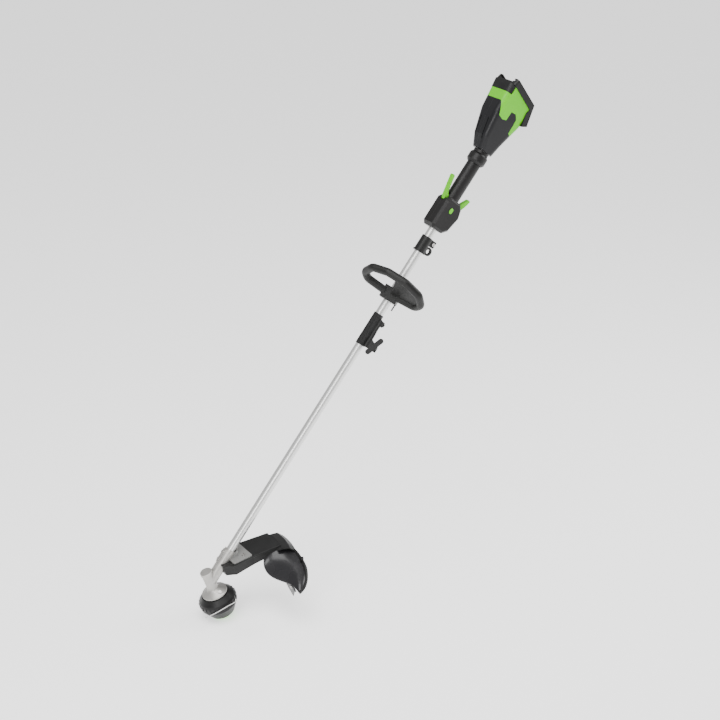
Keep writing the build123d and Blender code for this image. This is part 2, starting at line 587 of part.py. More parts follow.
# Neck screws, pointing down through the top of the neck
with BuildPart() as neck_screws:
    for height in NECK_SCREWS:
        with Locations(Plane((0, 0, height), x_dir=(0, 1, 0), z_dir=(1, 0, 0))):
            add(cap_screw(NECK_SCREW_RADIUS, NECK_SCREW_HEAD, TUBE_RADIUS + SEAT_FIT,
                          NECK_RADIUS + NECK_SCREW_HEAD / 2))
finish(neck_screws.part, "neck_screws", SHAFT)

# Trimmer head: a domed housing screwed on the spindle, closed from below by a tapered cover
HEAD_INNER = HEAD_RADIUS - HEAD_WALL
CEILING = HEAD_TOP - HEAD_WALL
EYELET_SIDES = (EYELET_ANGLE, EYELET_ANGLE + 180)
RIB_HEIGHT = HEAD_SHOULDER - HEAD_SEAM - 2 * HEAD_WALL


def eyelet_face(angle, reach):
    """The plane across a line eyelet, facing out of the head."""
    outward = Vector(cos_of(angle), -sin_of(angle), 0)
    return Plane(outward * reach + Vector(0, 0, EYELET_HEIGHT), x_dir=(0, 0, 1), z_dir=outward)


with BuildPart() as head_housing:
    add(turned((0, HEAD_TOP), (HEAD_TOP_RADIUS, HEAD_TOP), (HEAD_RADIUS - HEAD_WALL, HEAD_SHOULDER + 2 * HEAD_WALL),
               (HEAD_RADIUS, HEAD_SHOULDER), (HEAD_RADIUS, HEAD_SEAM), (HEAD_INNER, HEAD_SEAM),
               (HEAD_INNER, HEAD_SHOULDER), (HEAD_TOP_RADIUS - HEAD_WALL, CEILING), (HUB_RADIUS, CEILING),
               (HUB_RADIUS, HUB_BOTTOM), (0, HUB_BOTTOM)))
    with PolarLocations(HEAD_RADIUS, GRIP_RIBS, start_angle=180 / GRIP_RIBS):
        with Locations((0, 0, (HEAD_SHOULDER + HEAD_SEAM) / 2 + HEAD_WALL)):
            Box(HEAD_WALL, HEAD_WALL, RIB_HEIGHT)
    add(rod(DRIVE_RADIUS + SEAT_FIT, SPINDLE_BOTTOM, HEAD_TOP), mode=Mode.SUBTRACT)
    for angle in EYELET_SIDES:
        with BuildSketch(eyelet_face(angle, HEAD_RADIUS - 2 * HEAD_WALL)):
            Circle(EYELET_RADIUS + SEAT_FIT)
        extrude(amount=4 * HEAD_WALL, mode=Mode.SUBTRACT)
finish(head_housing.part, "head_housing", HEAD)

with BuildPart() as head_cover:
    add(turned((HEAD_RADIUS, HEAD_SEAM), (HEAD_RADIUS, HEAD_SEAM - HEAD_WALL),
               (COVER_MOUTH_RADIUS + HEAD_WALL, COVER_BOTTOM), (COVER_MOUTH_RADIUS, COVER_BOTTOM),
               (COVER_MOUTH_RADIUS, COVER_BOTTOM + 2 * HEAD_WALL), (HEAD_INNER, HEAD_SEAM - HEAD_WALL),
               (HEAD_INNER, HEAD_SEAM)))
    for angle in EYELET_SIDES:
        with BuildSketch(eyelet_face(angle, HEAD_RADIUS - 2 * HEAD_WALL)):
            Circle(EYELET_RADIUS + SEAT_FIT)
        extrude(amount=4 * HEAD_WALL, mode=Mode.SUBTRACT)
finish(head_cover.part, "head_cover", HEAD)

# Line eyelets: pressed steel ferrules in the seam of the head
with BuildPart() as line_eyelets:
    for angle in EYELET_SIDES:
        with Locations(eyelet_face(angle, 0)):
            add(turned((LINE_RADIUS + RUNNING_FIT, HEAD_INNER), (EYELET_RADIUS, HEAD_INNER),
                       (EYELET_RADIUS, HEAD_RADIUS), (EYELET_RADIUS - EYELET_EDGE, HEAD_RADIUS + EYELET_STAND),
                       (LINE_RADIUS + RUNNING_FIT, HEAD_RADIUS + EYELET_STAND)))
finish(line_eyelets.part, "line_eyelets", HEAD)

# Bump knob, spool and wound line, which are pressed up together
KNOB_RADIUS = COVER_MOUTH_RADIUS - KNOB_GAP
finish(turned((0, 0), (KNOB_FACE_RADIUS, 0), (0.87 * KNOB_RADIUS, KNOB_RIM / 3), (KNOB_RADIUS, KNOB_RIM),
              (KNOB_RADIUS, KNOB_TOP), (SPOOL_CORE, KNOB_TOP), (SPOOL_CORE, SPOOL_BOTTOM), (0, SPOOL_BOTTOM)),
       "bump_knob", HEAD)
SPOOL_BORE = HUB_RADIUS + SLIDING_FIT
finish(turned((SPOOL_BORE, SPOOL_BOTTOM), (SPOOL_LOWER_RADIUS, SPOOL_BOTTOM),
              (SPOOL_LOWER_RADIUS, SPOOL_BOTTOM + SPOOL_FLANGE), (SPOOL_CORE, SPOOL_BOTTOM + SPOOL_FLANGE),
              (SPOOL_CORE, SPOOL_TOP - SPOOL_FLANGE), (SPOOL_UPPER_RADIUS, SPOOL_TOP - SPOOL_FLANGE),
              (SPOOL_UPPER_RADIUS, SPOOL_TOP), (SPOOL_BORE, SPOOL_TOP)), "spool", HEAD)
finish(ring(SPOOL_LOWER_RADIUS, SPOOL_CORE + SEAT_FIT, SPOOL_BOTTOM + SPOOL_FLANGE + SEAT_FIT,
            SPOOL_TOP - SPOOL_FLANGE - SEAT_FIT), "wound_line", HEAD)

# Bump spring between the spool and the roof of the head
with BuildPart() as bump_spring:
    spring_height = CEILING - SPOOL_TOP - SPRING_WIRE - PIECE_GAP
    with BuildLine() as spring_path:
        Helix(spring_height / SPRING_TURNS, spring_height, SPRING_RADIUS,
              center=(0, 0, SPOOL_TOP + (SPRING_WIRE + PIECE_GAP) / 2))
    with BuildSketch(Plane(spring_path.line @ 0, z_dir=spring_path.line % 0)):
        RegularPolygon(SPRING_WIRE / 2, 6)
    sweep()
finish(bump_spring.part, "bump_spring", HEAD)

# Trimmer lines: each leaves its eyelet and lies round the head
LINE_LEAVE = HEAD_RADIUS + 4 * EYELET_STAND


def line_tube(angle, *route):
    """A tube of straight runs joined by tangent arcs, from inside an eyelet along a route of points."""
    outward = Vector(cos_of(angle), -sin_of(angle), 0)
    eye = Vector(0, 0, EYELET_HEIGHT)
    points = [outward * HEAD_INNER + eye, outward * LINE_LEAVE + eye] + [Vector(*point) for point in route]
    radii = []
    for before, here, after in zip(points, points[1:], points[2:]):
        half_turn = (here - before).get_angle(after - here) / 2
        radii.append(0.45 * min((here - before).length, (after - here).length) / math.tan(math.radians(half_turn)))
    with BuildPart() as tube:
        with BuildLine() as path:
            FilletPolyline(*points, radius=radii)
        length = sum(edge.length for edge in path.edges())
        with BuildSketch(Plane(path.line @ 0, z_dir=path.line % 0)):
            Circle(LINE_RADIUS)
        sweep()
    section = math.pi * LINE_RADIUS ** 2
    print("line radii", [round(radius, 1) for radius in radii], "length", round(length, 1),
          "volume over section times length", round(tube.part.volume / (section * length), 4))
    return tube.part


finish(line_tube(EYELET_SIDES[0], *LEFT_ROUTE), "trimmer_line_left", HEAD)
finish(line_tube(EYELET_SIDES[1], *RIGHT_ROUTE), "trimmer_line_right", HEAD)

# Guard bracket: a plate on the guard's arm with a saddle that carries it under the neck
ARM_SLOPE = math.degrees(math.atan2(ARM_TOP[0] - ARM_TOP[1], ARM_BEND - ARM_START))
ARM_FACE = Plane((ARM_BEND, 0, ARM_TOP[1]), x_dir=(cos_of(ARM_SLOPE), 0, -sin_of(ARM_SLOPE)),
                 z_dir=(sin_of(ARM_SLOPE), 0, cos_of(ARM_SLOPE)))
BRACKET_SPAN = (BRACKET_END - BRACKET_START) / cos_of(ARM_SLOPE)
BRACKET_FRONT = (BRACKET_START - ARM_BEND) / cos_of(ARM_SLOPE)
BRACKET_SCREW_PLACES = [(BRACKET_FRONT + 0.7 * BRACKET_SPAN, side * BRACKET_HALF_WIDTH / 2) for side in (-1, 1)]
with BuildPart() as guard_bracket:
    with BuildSketch(ARM_FACE):
        with Locations((BRACKET_FRONT + BRACKET_SPAN / 2, 0)):
            RectangleRounded(BRACKET_SPAN, 2 * BRACKET_HALF_WIDTH, 2 * BRACKET_THICKNESS)
    extrude(amount=BRACKET_THICKNESS)
    with BuildSketch(ARM_FACE):
        with Locations((BRACKET_FRONT + BRACKET_SPAN / 4, 0)):
            Rectangle(BRACKET_SPAN / 2, 2 * BRACKET_SADDLE)
    extrude(amount=NECK_RADIUS + BRACKET_THICKNESS)
    with BuildSketch(NECK):
        Circle(NECK_RADIUS + SEAT_FIT)
    extrude(amount=2 * NECK_END, mode=Mode.SUBTRACT)
    with BuildSketch(ARM_FACE):
        with Locations(*BRACKET_SCREW_PLACES):
            Circle(BRACKET_SCREW_RADIUS + SEAT_FIT)
    extrude(amount=BRACKET_THICKNESS, mode=Mode.SUBTRACT)
finish(guard_bracket.part, "guard_bracket", HEAD)

with BuildPart() as guard_screws:
    with Locations(ARM_FACE):
        with Locations(*BRACKET_SCREW_PLACES):
            add(cap_screw(BRACKET_SCREW_RADIUS, 1.8 * BRACKET_SCREW_RADIUS, -2 * GUARD_WALL, BRACKET_THICKNESS))
finish(guard_screws.part, "guard_screws", HEAD)


def arm_form(inset):
    """The guard's arm, drawn in by a wall on its top and sides, and open below when it is drawn in."""
    left = ARM_HALF_WIDTH - inset
    right = ARM_HALF_WIDTH - inset
    floor_drop = 2 * inset
    with BuildPart() as form:
        with BuildSketch(Plane.XZ):
            with BuildLine():
                Polyline((ARM_START + inset, ARM_BOTTOM[0] - floor_drop), (ARM_BEND, ARM_BOTTOM[1] - floor_drop),
                         (ARM_END + inset, ARM_BOTTOM[2] - floor_drop), (ARM_END + inset, ARM_TOP[2] - inset),
                         (ARM_BEND, ARM_TOP[1] - inset), (ARM_START + inset, ARM_TOP[0] - inset), close=True)
            make_face()
        extrude(amount=2 * ARM_HALF_WIDTH, both=True)
        with BuildSketch(Plane.XY):
            with BuildLine():
                Polyline((ARM_START + inset, -ARM_FRONT_LEFT * left), (ARM_START + left / 2, -left), (ARM_BEND, -left),
                         (ARM_END + inset, -left - ARM_LEFT_FLARE), (ARM_END + inset, right + ARM_RIGHT_FLARE),
                         (ARM_BEND, right), (ARM_START + right, right), (ARM_START + inset, ARM_FRONT_RIGHT * right),
                         close=True)
            make_face()
        extrude(amount=2 * ARM_TOP[0], mode=Mode.INTERSECT)
    return form.part


# Guard: a hollow arm that widens into a rounded hood behind the head
HOOD_FACE = Plane((0, 0, 0), x_dir=(cos_of(HOOD_LEFT), -sin_of(HOOD_LEFT), 0),
                  z_dir=(-sin_of(HOOD_LEFT), -cos_of(HOOD_LEFT), 0))
HOOD_INNER = HOOD_RADIUS - GUARD_WALL
with BuildPart() as guard:
    with BuildSketch(HOOD_FACE):
        with BuildLine():
            Polyline((HOOD_INNER - HOOD_CURL, HOOD_BOTTOM), (HOOD_RADIUS - HOOD_CURL, HOOD_BOTTOM),
                     (HOOD_RADIUS, HOOD_WAIST),
                     *[(HOOD_RADIUS - inward, ARM_TOP[2] - drop) for inward, drop in HOOD_SHOULDER],
                     (ARM_END + HOOD_BROW, ARM_TOP[2]), (ARM_END - HOOD_LAP, ARM_TOP[2] + HOOD_STEP),
                     (ARM_END - HOOD_LAP, ARM_TOP[2] - GUARD_WALL),
                     (ARM_END + HOOD_BROW_INSIDE, ARM_TOP[2] - GUARD_WALL),
                     *[(HOOD_INNER - inward, ARM_TOP[2] - drop) for inward, drop in HOOD_SHOULDER_INSIDE[::-1]],
                     (HOOD_INNER, HOOD_WAIST), close=True)
        make_face()
    revolve(axis=Axis.Z, revolution_arc=HOOD_LEFT + HOOD_RIGHT)
    with BuildLine() as rim_path:
        Spline(*RIM_ROUTE)
    with BuildSketch(Plane(rim_path.line @ 0, z_dir=rim_path.line % 0)):
        Circle(RIM_RADIUS)
    sweep(path=rim_path.line)
    add(arm_form(0))
    add(arm_form(GUARD_WALL), mode=Mode.SUBTRACT)
    with BuildSketch(NECK):
        Circle(NECK_RADIUS + PIECE_GAP)
    extrude(amount=2 * NECK_END, mode=Mode.SUBTRACT)
    with BuildSketch(ARM_FACE):
        with Locations(*BRACKET_SCREW_PLACES):
            Circle(BRACKET_SCREW_RADIUS + SEAT_FIT)
    extrude(amount=-3 * GUARD_WALL, mode=Mode.SUBTRACT)
finish(guard.part, "guard", HEAD)

# Line-cutter blade, flat on the skirt's land, with its two screws
BLADE_FACE = Plane((*BLADE_PLACE, 0), x_dir=(0, -1, 0), z_dir=(-1, 0, 0))
BLADE_SCREW_PLACES = [(BLADE_FOOT * share, BLADE_TOP - 3 * BLADE_SCREW_RADIUS) for share in (0.25, 0.75)]
with BuildPart() as line_cutter_blade:
    with BuildSketch(BLADE_FACE):
        with BuildLine():
            Polyline((0, BLADE_TOP), (BLADE_FOOT, BLADE_TOP), (BLADE_FOOT, BLADE_TOP - BLADE_LAND),
                     (0.4 * BLADE_FOOT, BLADE_TIP), (0, BLADE_TOP - BLADE_LAND), close=True)
        make_face()
        with Locations(*BLADE_SCREW_PLACES):
            Circle(BLADE_SCREW_RADIUS + SEAT_FIT, mode=Mode.SUBTRACT)
    extrude(amount=BLADE_THICKNESS)
finish(line_cutter_blade.part, "line_cutter_blade", HEAD)
with BuildPart() as blade_screws:
    with Locations(BLADE_FACE):
        with Locations(*BLADE_SCREW_PLACES):
            add(cap_screw(BLADE_SCREW_RADIUS, 1.8 * BLADE_SCREW_RADIUS, -SKIRT_WALL, BLADE_THICKNESS))
finish(blade_screws.part, "blade_screws", HEAD)

# Guard skirt: an arched fender from the arm's left edge to the rim, with a land for the blade
with BuildPart() as guard_skirt:
    for side, *edge in SKIRT_SECTIONS:
        with BuildSketch(Plane.XZ.offset(side)):
            with BuildLine():
                upper = ThreePointArc(*edge)
                lower = ThreePointArc(*[(x, height - SKIRT_WALL) for x, height in edge])
                Line(upper @ 0, lower @ 0)
                Line(upper @ 1, lower @ 1)
            make_face()
    loft()
    with BuildSketch(BLADE_FACE):
        with Locations((BLADE_FOOT / 2, BLADE_TOP - BLADE_LAND / 2)):
            Rectangle(BLADE_FOOT + 2 * SKIRT_WALL, BLADE_LAND + SKIRT_WALL)
    extrude(amount=-SKIRT_WALL)
    for seated in (guard, line_cutter_blade, blade_screws):
        add(seated.part, mode=Mode.SUBTRACT)
finish(guard_skirt.part.solids().sort_by(SortBy.VOLUME)[-1], "guard_skirt", HEAD)

# Coupler: a sleeve fixed on the upper tube, with a split clamp that grips the lower tube
with BuildPart() as coupler_sleeve:
    add(rod(SLEEVE_RADIUS, SLEEVE_START, SLEEVE_END))
    with BuildSketch(Plane.XZ):
        with BuildLine():
            Polyline((0, SLEEVE_START + CLAMP_STEP), (CLAMP_REACH, SLEEVE_START + CLAMP_STEP),
                     (CLAMP_REACH, CLAMP_HEIGHT),
                     (BAR_REACH, CLAMP_HEIGHT + CLAMP_LENGTH / 2),
                     (BAR_REACH - BAR_WAIST, BUTTON_HEIGHT - 2 * BUTTON_BOSS), (BAR_REACH, BAR_END - BAR_BEVEL),
                     (SLEEVE_RADIUS, BAR_END), (0, BAR_END), close=True)
        make_face()
    extrude(amount=CLAMP_HALF_WIDTH, both=True)
    with BuildSketch(Plane((0, 0, BUTTON_HEIGHT), x_dir=(0, 1, 0), z_dir=(1, 0, 0))):
        Circle(BUTTON_BOSS)
    extrude(amount=BUTTON_REACH - BUTTON_TRAVEL)
    add(rod(TUBE_RADIUS + SLIDING_FIT, SLEEVE_START, SLEEVE_END), mode=Mode.SUBTRACT)
    with Locations((CLAMP_REACH / 2, 0, (SLEEVE_START + UPPER_TUBE_START) / 2)):
        Box(CLAMP_REACH, CLAMP_SLIT, UPPER_TUBE_START - SLEEVE_START, mode=Mode.SUBTRACT)
    button_floor = BUTTON_REACH - BUTTON_DEPTH - BUTTON_TRAVEL - PIECE_GAP
    with BuildSketch(Plane((0, 0, BUTTON_HEIGHT), x_dir=(0, 1, 0), z_dir=(1, 0, 0)).offset(button_floor)):
        Circle(BUTTON_RADIUS + RUNNING_FIT)
    extrude(amount=BUTTON_REACH, mode=Mode.SUBTRACT)
    with BuildSketch(Plane.XZ):
        with Locations((CLAMP_BOLT_REACH, CLAMP_HEIGHT)):
            Circle(CLAMP_BOLT_RADIUS + RUNNING_FIT)
    extrude(amount=2 * CLAMP_HALF_WIDTH, both=True, mode=Mode.SUBTRACT)
finish(coupler_sleeve.part, "coupler_sleeve", COUPLER)

with BuildPart() as release_button:
    with Locations(Plane((0, 0, BUTTON_HEIGHT), x_dir=(0, 1, 0), z_dir=(1, 0, 0))):
        add(turned((0, BUTTON_REACH - BUTTON_DEPTH), (BUTTON_RADIUS, BUTTON_REACH - BUTTON_DEPTH),
                   (BUTTON_RADIUS, BUTTON_REACH - BUTTON_EDGE), (BUTTON_RADIUS - BUTTON_EDGE, BUTTON_REACH),
                   (0, BUTTON_REACH)))
finish(release_button.part, "release_button", COUPLER)

# The clamp bolt's head is on the far side, and the wing knob turns on its near end
BOLT_FACE = Plane((CLAMP_BOLT_REACH, 0, CLAMP_HEIGHT), x_dir=(0, 0, 1), z_dir=(0, -1, 0))
BOLT_END = CLAMP_HALF_WIDTH + KNOB_HUB_HEIGHT - BOLT_SINK
with BuildPart() as clamp_bolt:
    with Locations(-BOLT_FACE):
        add(cap_screw(CLAMP_BOLT_RADIUS, 2 * CLAMP_BOLT_RADIUS, -BOLT_END, CLAMP_HALF_WIDTH))
finish(clamp_bolt.part, "clamp_bolt", COUPLER)

with BuildPart() as clamp_knob:
    with BuildSketch(BOLT_FACE.offset(CLAMP_HALF_WIDTH + PIECE_GAP)):
        Circle(KNOB_HUB_RADIUS)
    extrude(amount=KNOB_HUB_HEIGHT)
    with BuildSketch(BOLT_FACE.offset(CLAMP_HALF_WIDTH + PIECE_GAP + KNOB_HUB_HEIGHT - KNOB_WING_THICKNESS)):
        SlotOverall(KNOB_WING_LENGTH, KNOB_WING_WIDTH, rotation=-KNOB_WING_TURN)
    extrude(amount=KNOB_WING_THICKNESS)
    with Locations(BOLT_FACE):
        add(rod(CLAMP_BOLT_RADIUS + RUNNING_FIT, 0, BOLT_END + PIECE_GAP), mode=Mode.SUBTRACT)
finish(clamp_knob.part, "clamp_knob", COUPLER)

# Loop handle: a leaning hand loop with half of it closed, moulded on the upper clamp block
RING_FACE = Plane((LOOP_BLOCK_TOP - LOOP_SINK, 0, LOOP_HEIGHT), x_dir=(0, 1, 0),
                  z_dir=(sin_of(LOOP_LEAN), 0, -cos_of(LOOP_LEAN)))
HALF_LOOP = [LOOP_FOOT] + [(across * LOOP_HALF_WIDTH, up * LOOP_RISE) for across, up in LOOP_SHARES]
LOOP_LINE = [(-x, y) for x, y in HALF_LOOP] + HALF_LOOP[::-1]
with BuildPart() as loop_handle:
    with BuildLine(RING_FACE) as loop_path:
        FilletPolyline(*LOOP_LINE, radius=LOOP_BEND * LOOP_BAR_RADIUS)
    with BuildSketch(Plane(loop_path.line @ 0, z_dir=loop_path.line % 0)):
        Circle(LOOP_BAR_RADIUS)
    sweep()
    with BuildSketch(RING_FACE):
        with BuildLine():
            Polyline((0, 0), *HALF_LOOP[1:], (0, LOOP_RISE), close=True)
        make_face()
    extrude(amount=LOOP_WEB / 2, both=True)
    with Locations((LOOP_BLOCK_TOP / 2, 0, LOOP_HEIGHT)):
        Box(LOOP_BLOCK_TOP, 2 * LOOP_BLOCK_HALF_WIDTH, LOOP_BLOCK_LENGTH)
    add(rod(TUBE_RADIUS + SLIDING_FIT, LOOP_HEIGHT - LOOP_BLOCK_LENGTH, LOOP_HEIGHT + LOOP_BLOCK_LENGTH),
        mode=Mode.SUBTRACT)
    with BuildSketch(Plane((0, 0, LOOP_HEIGHT), x_dir=(0, 1, 0), z_dir=(1, 0, 0))):
        with Locations((-LOOP_BOLT_PLACE, 0), (LOOP_BOLT_PLACE, 0)):
            Circle(LOOP_BOLT_RADIUS + SEAT_FIT)
    extrude(amount=LOOP_BLOCK_BOTTOM, mode=Mode.SUBTRACT)
finish(loop_handle.part, "loop_handle", LOOP)

with BuildPart() as handle_clamp:
    with Locations((-LOOP_BLOCK_BOTTOM / 2 - PIECE_GAP / 2, 0, LOOP_HEIGHT)):
        Box(LOOP_BLOCK_BOTTOM - PIECE_GAP, 2 * LOOP_BLOCK_HALF_WIDTH, LOOP_BLOCK_LENGTH)
    add(rod(TUBE_RADIUS + SLIDING_FIT, LOOP_HEIGHT - LOOP_BLOCK_LENGTH, LOOP_HEIGHT + LOOP_BLOCK_LENGTH),
        mode=Mode.SUBTRACT)
    with BuildSketch(Plane((0, 0, LOOP_HEIGHT), x_dir=(0, 1, 0), z_dir=(1, 0, 0))):
        with Locations((-LOOP_BOLT_PLACE, 0), (LOOP_BOLT_PLACE, 0)):
            Circle(LOOP_BOLT_RADIUS + SEAT_FIT)
    extrude(amount=-2 * LOOP_BLOCK_BOTTOM, mode=Mode.SUBTRACT)
    with BuildSketch(Plane.XY.offset(HEX_KEY_START)):
        with Locations((-HEX_KEY_DROP, HEX_KEY_PLACE)):
            Circle(HEX_KEY_RADIUS + SEAT_FIT)
    extrude(amount=HEX_KEY_LENGTH, mode=Mode.SUBTRACT)
finish(handle_clamp.part, "handle_clamp", LOOP)

with BuildPart() as handle_bolts:
    for side in (-1, 1):
        with Locations(Plane((0, side * LOOP_BOLT_PLACE, LOOP_HEIGHT), x_dir=(0, 1, 0), z_dir=(-1, 0, 0))):
            add(cap_screw(LOOP_BOLT_RADIUS, 2 * LOOP_BOLT_RADIUS, -LOOP_BLOCK_BOTTOM, LOOP_BLOCK_BOTTOM))
finish(handle_bolts.part, "handle_bolts", LOOP)

with BuildPart() as hex_key:
    with BuildSketch(Plane.XY.offset(HEX_KEY_START)):
        with Locations((-HEX_KEY_DROP, HEX_KEY_PLACE)):
            RegularPolygon(HEX_KEY_RADIUS, 6)
    extrude(amount=HEX_KEY_LENGTH)
finish(hex_key.part, "hex_key", LOOP)

# Strap clamp: a split band round the upper tube with a ring for a shoulder strap
STRAP_END = STRAP_START + STRAP_LENGTH
with BuildPart() as strap_clamp:
    add(rod(STRAP_RADIUS, STRAP_START, STRAP_END))
    add(rod(STRAP_FLANGE_RADIUS, STRAP_START, STRAP_START + STRAP_FLANGE))
    with Locations((-STRAP_EAR_DROP / 2, 0, STRAP_END - STRAP_EAR_LENGTH / 2)):
        Box(STRAP_EAR_DROP, STRAP_RING_THICKNESS * 2, STRAP_EAR_LENGTH)
    with BuildSketch(Plane.XZ):
        with Locations((-STRAP_RING_DROP, STRAP_START + STRAP_RING_RISE)):
            Circle(STRAP_RING_RADIUS)
        with Locations((-STRAP_RING_DROP / 2, STRAP_START + STRAP_RING_RISE)):
            Rectangle(STRAP_RING_DROP, STRAP_RING_HOLE * 2)
    extrude(amount=STRAP_RING_THICKNESS / 2, both=True)
    add(rod(TUBE_RADIUS + SEAT_FIT, STRAP_START, STRAP_END), mode=Mode.SUBTRACT)
    with BuildSketch(Plane.XZ):
        with Locations((-STRAP_RING_DROP, STRAP_START + STRAP_RING_RISE)):
            Circle(STRAP_RING_HOLE)
        with Locations((-STRAP_EAR_DROP + 3 * STRAP_BOLT_RADIUS, STRAP_END - STRAP_EAR_LENGTH / 2)):
            Circle(STRAP_BOLT_RADIUS + SEAT_FIT)
    extrude(amount=2 * STRAP_RADIUS, both=True, mode=Mode.SUBTRACT)
    with Locations((-STRAP_EAR_DROP / 2, 0, STRAP_END - STRAP_EAR_LENGTH / 2)):
        Box(STRAP_EAR_DROP, CLAMP_SLIT, STRAP_EAR_LENGTH, mode=Mode.SUBTRACT)
finish(strap_clamp.part, "strap_clamp", SHAFT)

with BuildPart() as strap_bolt:
    with Locations(Plane((-STRAP_EAR_DROP + 3 * STRAP_BOLT_RADIUS, 0, STRAP_END - STRAP_EAR_LENGTH / 2),
                         x_dir=(0, 0, 1), z_dir=(0, 1, 0))):
        add(cap_screw(STRAP_BOLT_RADIUS, 2 * STRAP_BOLT_RADIUS, -STRAP_RING_THICKNESS, STRAP_RING_THICKNESS))
finish(strap_bolt.part, "strap_bolt", SHAFT)

# Grip and trigger housing: two moulded halves that close round the tube
CONTROL_SLOT = CONTROL_HALF_WIDTH + PIECE_GAP
TUBE_COVER = TUBE_RADIUS + HOUSING_WALL
SIDE = Plane.XZ
TOP_SCREW, LOW_SCREW, END_SCREW = GRIP_SCREW_STEPS
GRIP_SCREW_PLACES = ((HOUSING_TOP - HOUSING_CHAMFER - TOP_SCREW[0], GRIP_START + TOP_SCREW[1]),
                     (-TUBE_COVER - LOW_SCREW[0], GRIP_START + LOW_SCREW[1]),
                     (GRIP_HEIGHT / 2 - END_SCREW[0], GRIP_END - END_SCREW[1]),
                     (-GRIP_HEIGHT / 2 + END_SCREW[0], GRIP_END - END_SCREW[1]))
with BuildPart() as grip_body:
    with BuildSketch(SIDE):
        with BuildLine():
            Polyline((HOUSING_TOP - HOUSING_BROW[0], GRIP_START), (HOUSING_TOP, GRIP_START + HOUSING_BROW[1]),
                     (HOUSING_TOP, GRIP_NECK - HOUSING_SLOPE), (GRIP_HEIGHT / 2, GRIP_NECK),
                     (-GRIP_HEIGHT / 2, GRIP_NECK), (-HOUSING_BOTTOM + HOUSING_HEEL[0], GRIP_NECK - HOUSING_HEEL[1]),
                     (-HOUSING_BOTTOM, GRIP_NECK - HOUSING_BELLY),
                     (-HOUSING_BOTTOM + HOUSING_TOE[0], GRIP_START + HOUSING_TOE[1]),
                     (-TUBE_COVER - HOUSING_FOOT, GRIP_START), close=True)
        make_face()
    extrude(amount=HOUSING_HALF_WIDTH, both=True)
    chamfer(faces().filter_by(Axis.Y).edges(), HOUSING_CHAMFER)
    with BuildSketch(Plane.XY.offset(GRIP_NECK - HOUSING_SLOPE)):
        Ellipse(GRIP_HEIGHT / 2, GRIP_WIDTH / 2)
    extrude(amount=GRIP_END - GRIP_NECK + HOUSING_SLOPE)
    add(rod(TUBE_RADIUS + SEAT_FIT, GRIP_START, GRIP_END), mode=Mode.SUBTRACT)
    with BuildSketch(SIDE):
        for near, far, start in ((-TUBE_COVER, -2 * HOUSING_BOTTOM, TRIGGER_SLOT),
                                 (TUBE_COVER, 2 * HOUSING_TOP, LEVER_SLOT)):
            with BuildLine():
                Polyline((near, GRIP_NECK - start), (near, GRIP_NECK + SLOT_PAST_NECK),
                         (far, GRIP_NECK + SLOT_PAST_NECK), (far, GRIP_NECK - start), close=True)
            make_face()
    extrude(amount=CONTROL_SLOT, both=True, mode=Mode.SUBTRACT)
    with Locations((-TUBE_COVER - SWITCH_DEPTH / 2, 0, SWITCH_START + SWITCH_LENGTH / 2)):
        Box(SWITCH_DEPTH + 2 * SEAT_FIT, 2 * (CONTROL_SLOT + SEAT_FIT), SWITCH_LENGTH + 2 * SEAT_FIT,
            mode=Mode.SUBTRACT)
    with BuildSketch(SIDE):
        with Locations(TRIGGER_PIVOT):
            Circle(CONTROL_PIN_RADIUS + SEAT_FIT)
        with Locations(LEVER_PIVOT):
            Circle(CONTROL_PIN_RADIUS + SEAT_FIT)
    extrude(amount=2 * CONTROL_SLOT, both=True, mode=Mode.SUBTRACT)
    with BuildSketch(SIDE.offset(-HOUSING_HALF_WIDTH)):
        with Locations((0, SPEED_BUTTON_HEIGHT)):
            SlotOverall(SPEED_BUTTON_LENGTH + 2 * SLIDING_FIT, SPEED_BUTTON_WIDTH + 2 * SLIDING_FIT, rotation=90)
    extrude(amount=HOUSING_HALF_WIDTH - TUBE_COVER, mode=Mode.SUBTRACT)
    with BuildSketch(SIDE):
        with Locations(*GRIP_SCREW_PLACES):
            Circle(SCREW_RADIUS + SEAT_FIT)
    extrude(amount=SCREW_LENGTH / 2 + SEAT_FIT, both=True, mode=Mode.SUBTRACT)
for half_name, kept in (("grip_left", Keep.BOTTOM), ("grip_right", Keep.TOP)):
    with BuildPart() as grip_half:
        add(grip_body.part)
        split(bisect_by=SIDE, keep=kept)
    finish(grip_half.part, half_name, SHAFT)

GRIP_STOP = GRIP_END + COLLAR_LENGTH
COLLAR_END_RADIUS = COLLAR_RADIUS - COLLAR_STEP
finish(turned((TUBE_RADIUS + SEAT_FIT, GRIP_END), (COLLAR_END_RADIUS, GRIP_END),
              (COLLAR_RADIUS, GRIP_END + COLLAR_RAMP), (COLLAR_RADIUS, GRIP_STOP - COLLAR_SHOULDER), (COLLAR_END_RADIUS, GRIP_STOP - COLLAR_NOSE),
              (COLLAR_END_RADIUS, GRIP_STOP), (TUBE_RADIUS + SEAT_FIT, GRIP_STOP)), "grip_collar", SHAFT)

# Trigger below the grip, lock-off lever above it, each on its own pin
TRIGGER_MIDDLE = ((TRIGGER_PIVOT[0] + TRIGGER_TIP[0]) / 2, (TRIGGER_PIVOT[1] + TRIGGER_TIP[1]) / 2)


def stepped(place, *steps):
    """Points at steps from a place on the tool's side."""
    return [(place[0] + x, place[1] + z) for x, z in steps]


